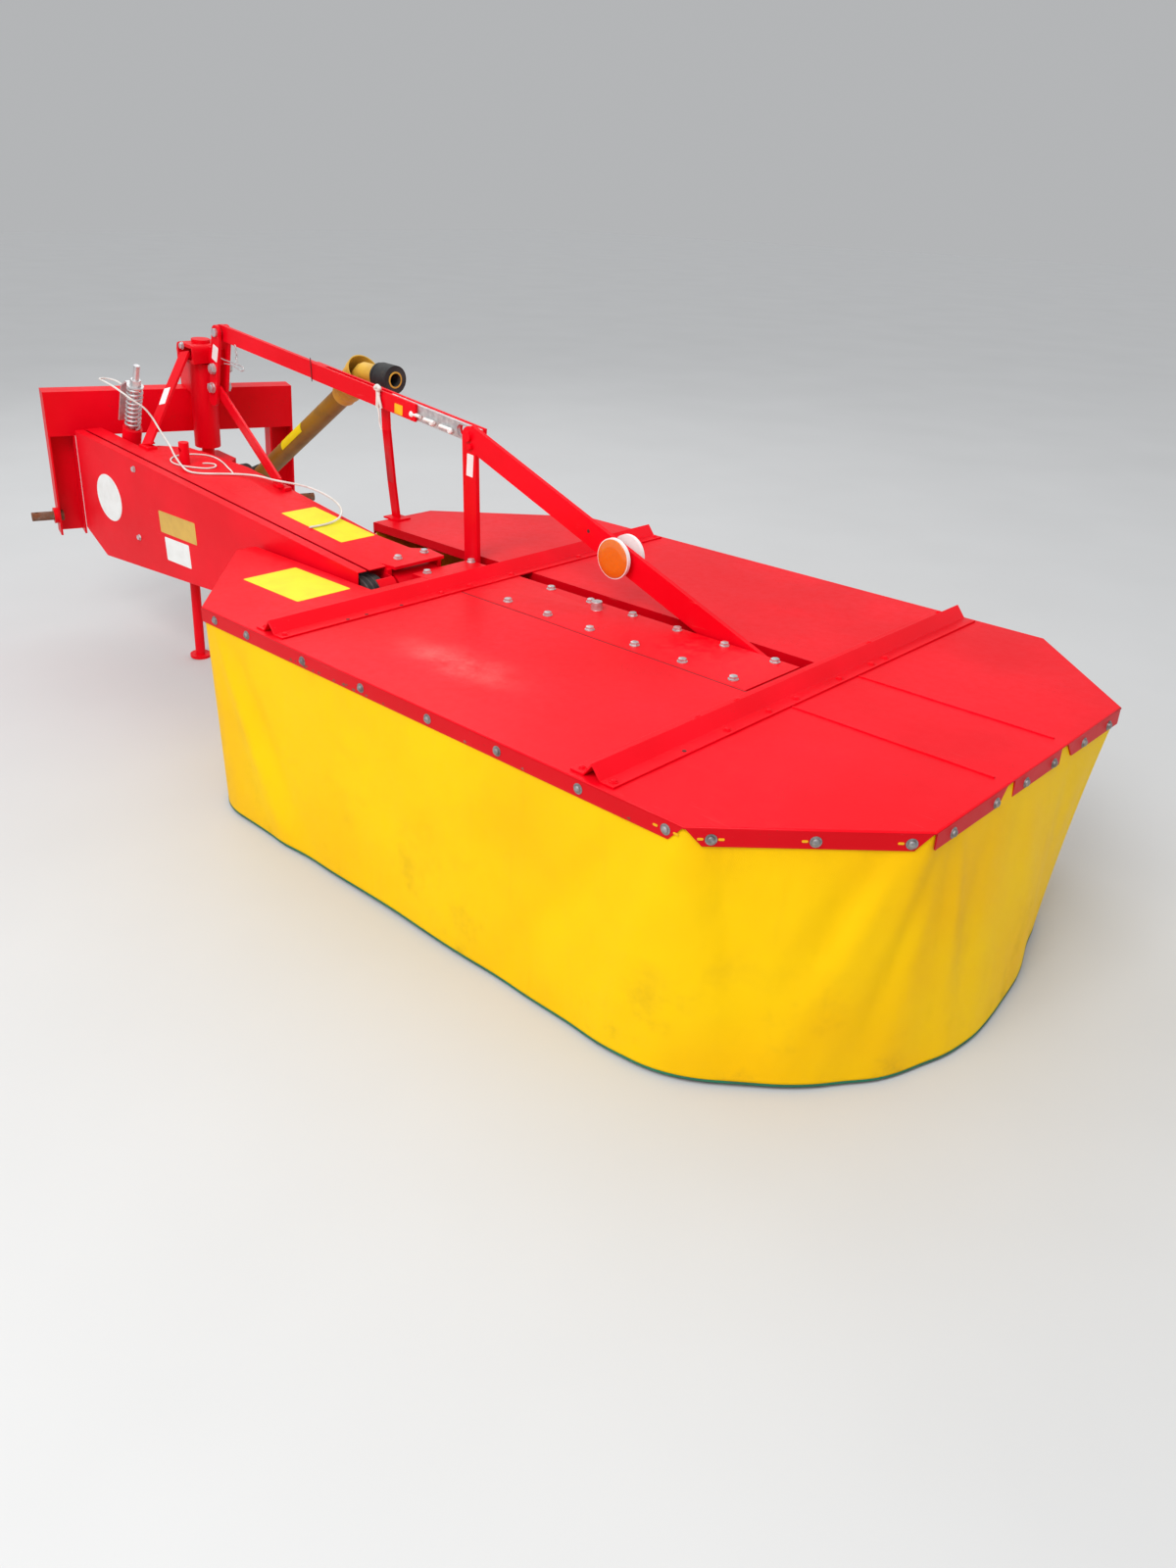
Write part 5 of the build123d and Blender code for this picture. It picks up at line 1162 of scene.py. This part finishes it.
# %% Clips, rings and lens
STRIP_OUT = (-0.02, -1, 0)
STRIP_NEAR = axes((-0.1735, 0.0965, 0.8357), (1, -0.02, -0.106), STRIP_OUT)
pins = [moved(tube([(x, z, 0.0), (x + 0.044, z + 0.002, 0.003)], 0.0050), STRIP_NEAR)
        for x, z in ((-0.070, 0.004), (-0.012, 0.003), (0.052, 0.002))]
pin_head = turned([(0.0080, 0), (0.0080, 0.004), (0.005, 0.007)], 14)
heads = [moved(pin_head, facing(put(STRIP_NEAR, (x, z, 0.001)), STRIP_OUT))
         for x, z in ((-0.062, 0.004), (0.022, 0.002), (0.096, 0.001))]
piece("strip_clips", pins + heads, "arm", WHITE_VINYL)

CLAMP_X = -0.6906
band = [(CLAMP_X, 0.1015, 0.938), (CLAMP_X + 0.001, 0.1010, 0.905), (CLAMP_X, 0.1015, 0.874)]
piece("link_clamp_line", [tube(band, 0.0012, 8, above=(1, 0, 0))], "arm", DARK_JOINT_AND_SHADE)

COLLAR_END = np.array([-0.4268, 0.1949, 0.9005])
JOINT_AT = np.array([-0.500, 0.1950, 0.9050])
JOINT_WAY = np.array([0.999, -0.006, -0.048])
joint_place = facing(JOINT_AT, JOINT_WAY)
ring = turned([(0.0300, 0.0), (0.0345, 0.002), (0.0345, 0.008), (0.0300, 0.010)], 40)
piece("shaft_joint_ring", [moved(ring, joint_place)], "arm", RUBBER)

BORE_RADIUS = 0.0177
bore_rows = np.array([(BORE_RADIUS + 0.0045, -0.0004), (BORE_RADIUS + 0.0045, 0.0006), (BORE_RADIUS, 0.0006)])
bore = sheet_of(lathe(bore_rows[:, :1], circle(48), bore_rows[:, 1:]), wrap=True)
piece("shaft_bore_ring", [moved(bore, facing(COLLAR_END, JOINT_WAY))], "arm", YELLOW)

lens_low, lens_high = (np.array(corner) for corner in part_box("reflectors"))
lens_at = ((lens_low[0] + lens_high[0]) / 2, lens_low[1], (lens_low[2] + lens_high[2]) / 2)
LENS = turned([(0.0446, -0.0005), (0.0446, 0.0012), (0.0430, 0.0026), (0.0260, 0.0036), (0.0080, 0.0040)], 48)
piece("near_lens", [moved(LENS, facing(lens_at, NEAR))], "cutting_unit", AMBER_LENS)
print("fittings on the tower, the link, the shaft and the frame")

# %% [markdown]
# The floor is a plain pale sheet, and the light is a bright, soft sky with a large lamp high on the camera's
# left and a weaker one beyond the machine, as on an overcast day.

# %% Floor and light
SKY_LEVEL = 0.90
SKY = (0.95, 0.97, 1.0)
BACKDROP = (0.455, 0.463, 0.472)
FLOOR_TONES = ((0.52, 0.52, 0.515), (0.57, 0.57, 0.565))


def sky_world():
    """A soft sky that lights as SKY; the camera, gloss and glass see BACKDROP in its place."""
    world = bpy.data.worlds.new("soft_sky")
    world.use_nodes = True
    tree = world.node_tree

    def fed(kind, *sources, operation=None):
        """The first output of a new node whose first sockets are linked to the sources."""
        new = tree.nodes.new(kind)
        if operation:
            new.operation = operation
        for number, source in enumerate(sources):
            tree.links.new(source, new.inputs[number])
        return new.outputs[0]

    sky = tree.nodes["Background"]
    sky.inputs[0].default_value = (*SKY, 1.0)
    sky.inputs[1].default_value = SKY_LEVEL
    backdrop = tree.nodes.new("ShaderNodeBackground")
    backdrop.inputs[0].default_value = (*BACKDROP, 1.0)
    ray = tree.nodes.new("ShaderNodeLightPath").outputs
    seen = fed("ShaderNodeMath", ray["Is Camera Ray"], ray["Is Glossy Ray"], operation="MAXIMUM")
    through = fed("ShaderNodeMath", seen, ray["Is Transmission Ray"], operation="MAXIMUM")
    choice = fed("ShaderNodeMixShader", through, sky.outputs[0], backdrop.outputs[0])
    tree.links.new(choice, tree.nodes["World Output"].inputs["Surface"])
    return world


def studio():
    """A wide pale floor, a soft world and two area lamps."""
    bpy.ops.mesh.primitive_plane_add(size=60, location=(0, 0, 0))
    floor = bpy.context.object
    floor.name = "floor"
    stone = Finish("pale_floor", Roughness=0.7)
    stone.feed("Base Color", stone.mix(stone.noise(1.5, 3), *FLOOR_TONES))
    floor.data.materials.append(stone.material)
    bpy.context.scene.world = sky_world()
    lamps = (("key", (1.5, -3.8, 4.4), 2.8, 215), ("fill", (-3.5, 1.5, 4.5), 4.0, 70))
    for name, spot, size, power in lamps:
        light = bpy.data.lights.new(name, "AREA")
        light.size = size
        light.energy = power
        lamp = in_scene(name, light)
        aim = unit(np.array([0.4, 0, 0.3]) - np.array(spot))
        look = axes(spot, np.cross(aim, (0, 0, 1)), -aim)
        lamp.matrix_world = Matrix([list(row) for row in look] + [[0, 0, 0, 1]])


studio()
print("floor and light")
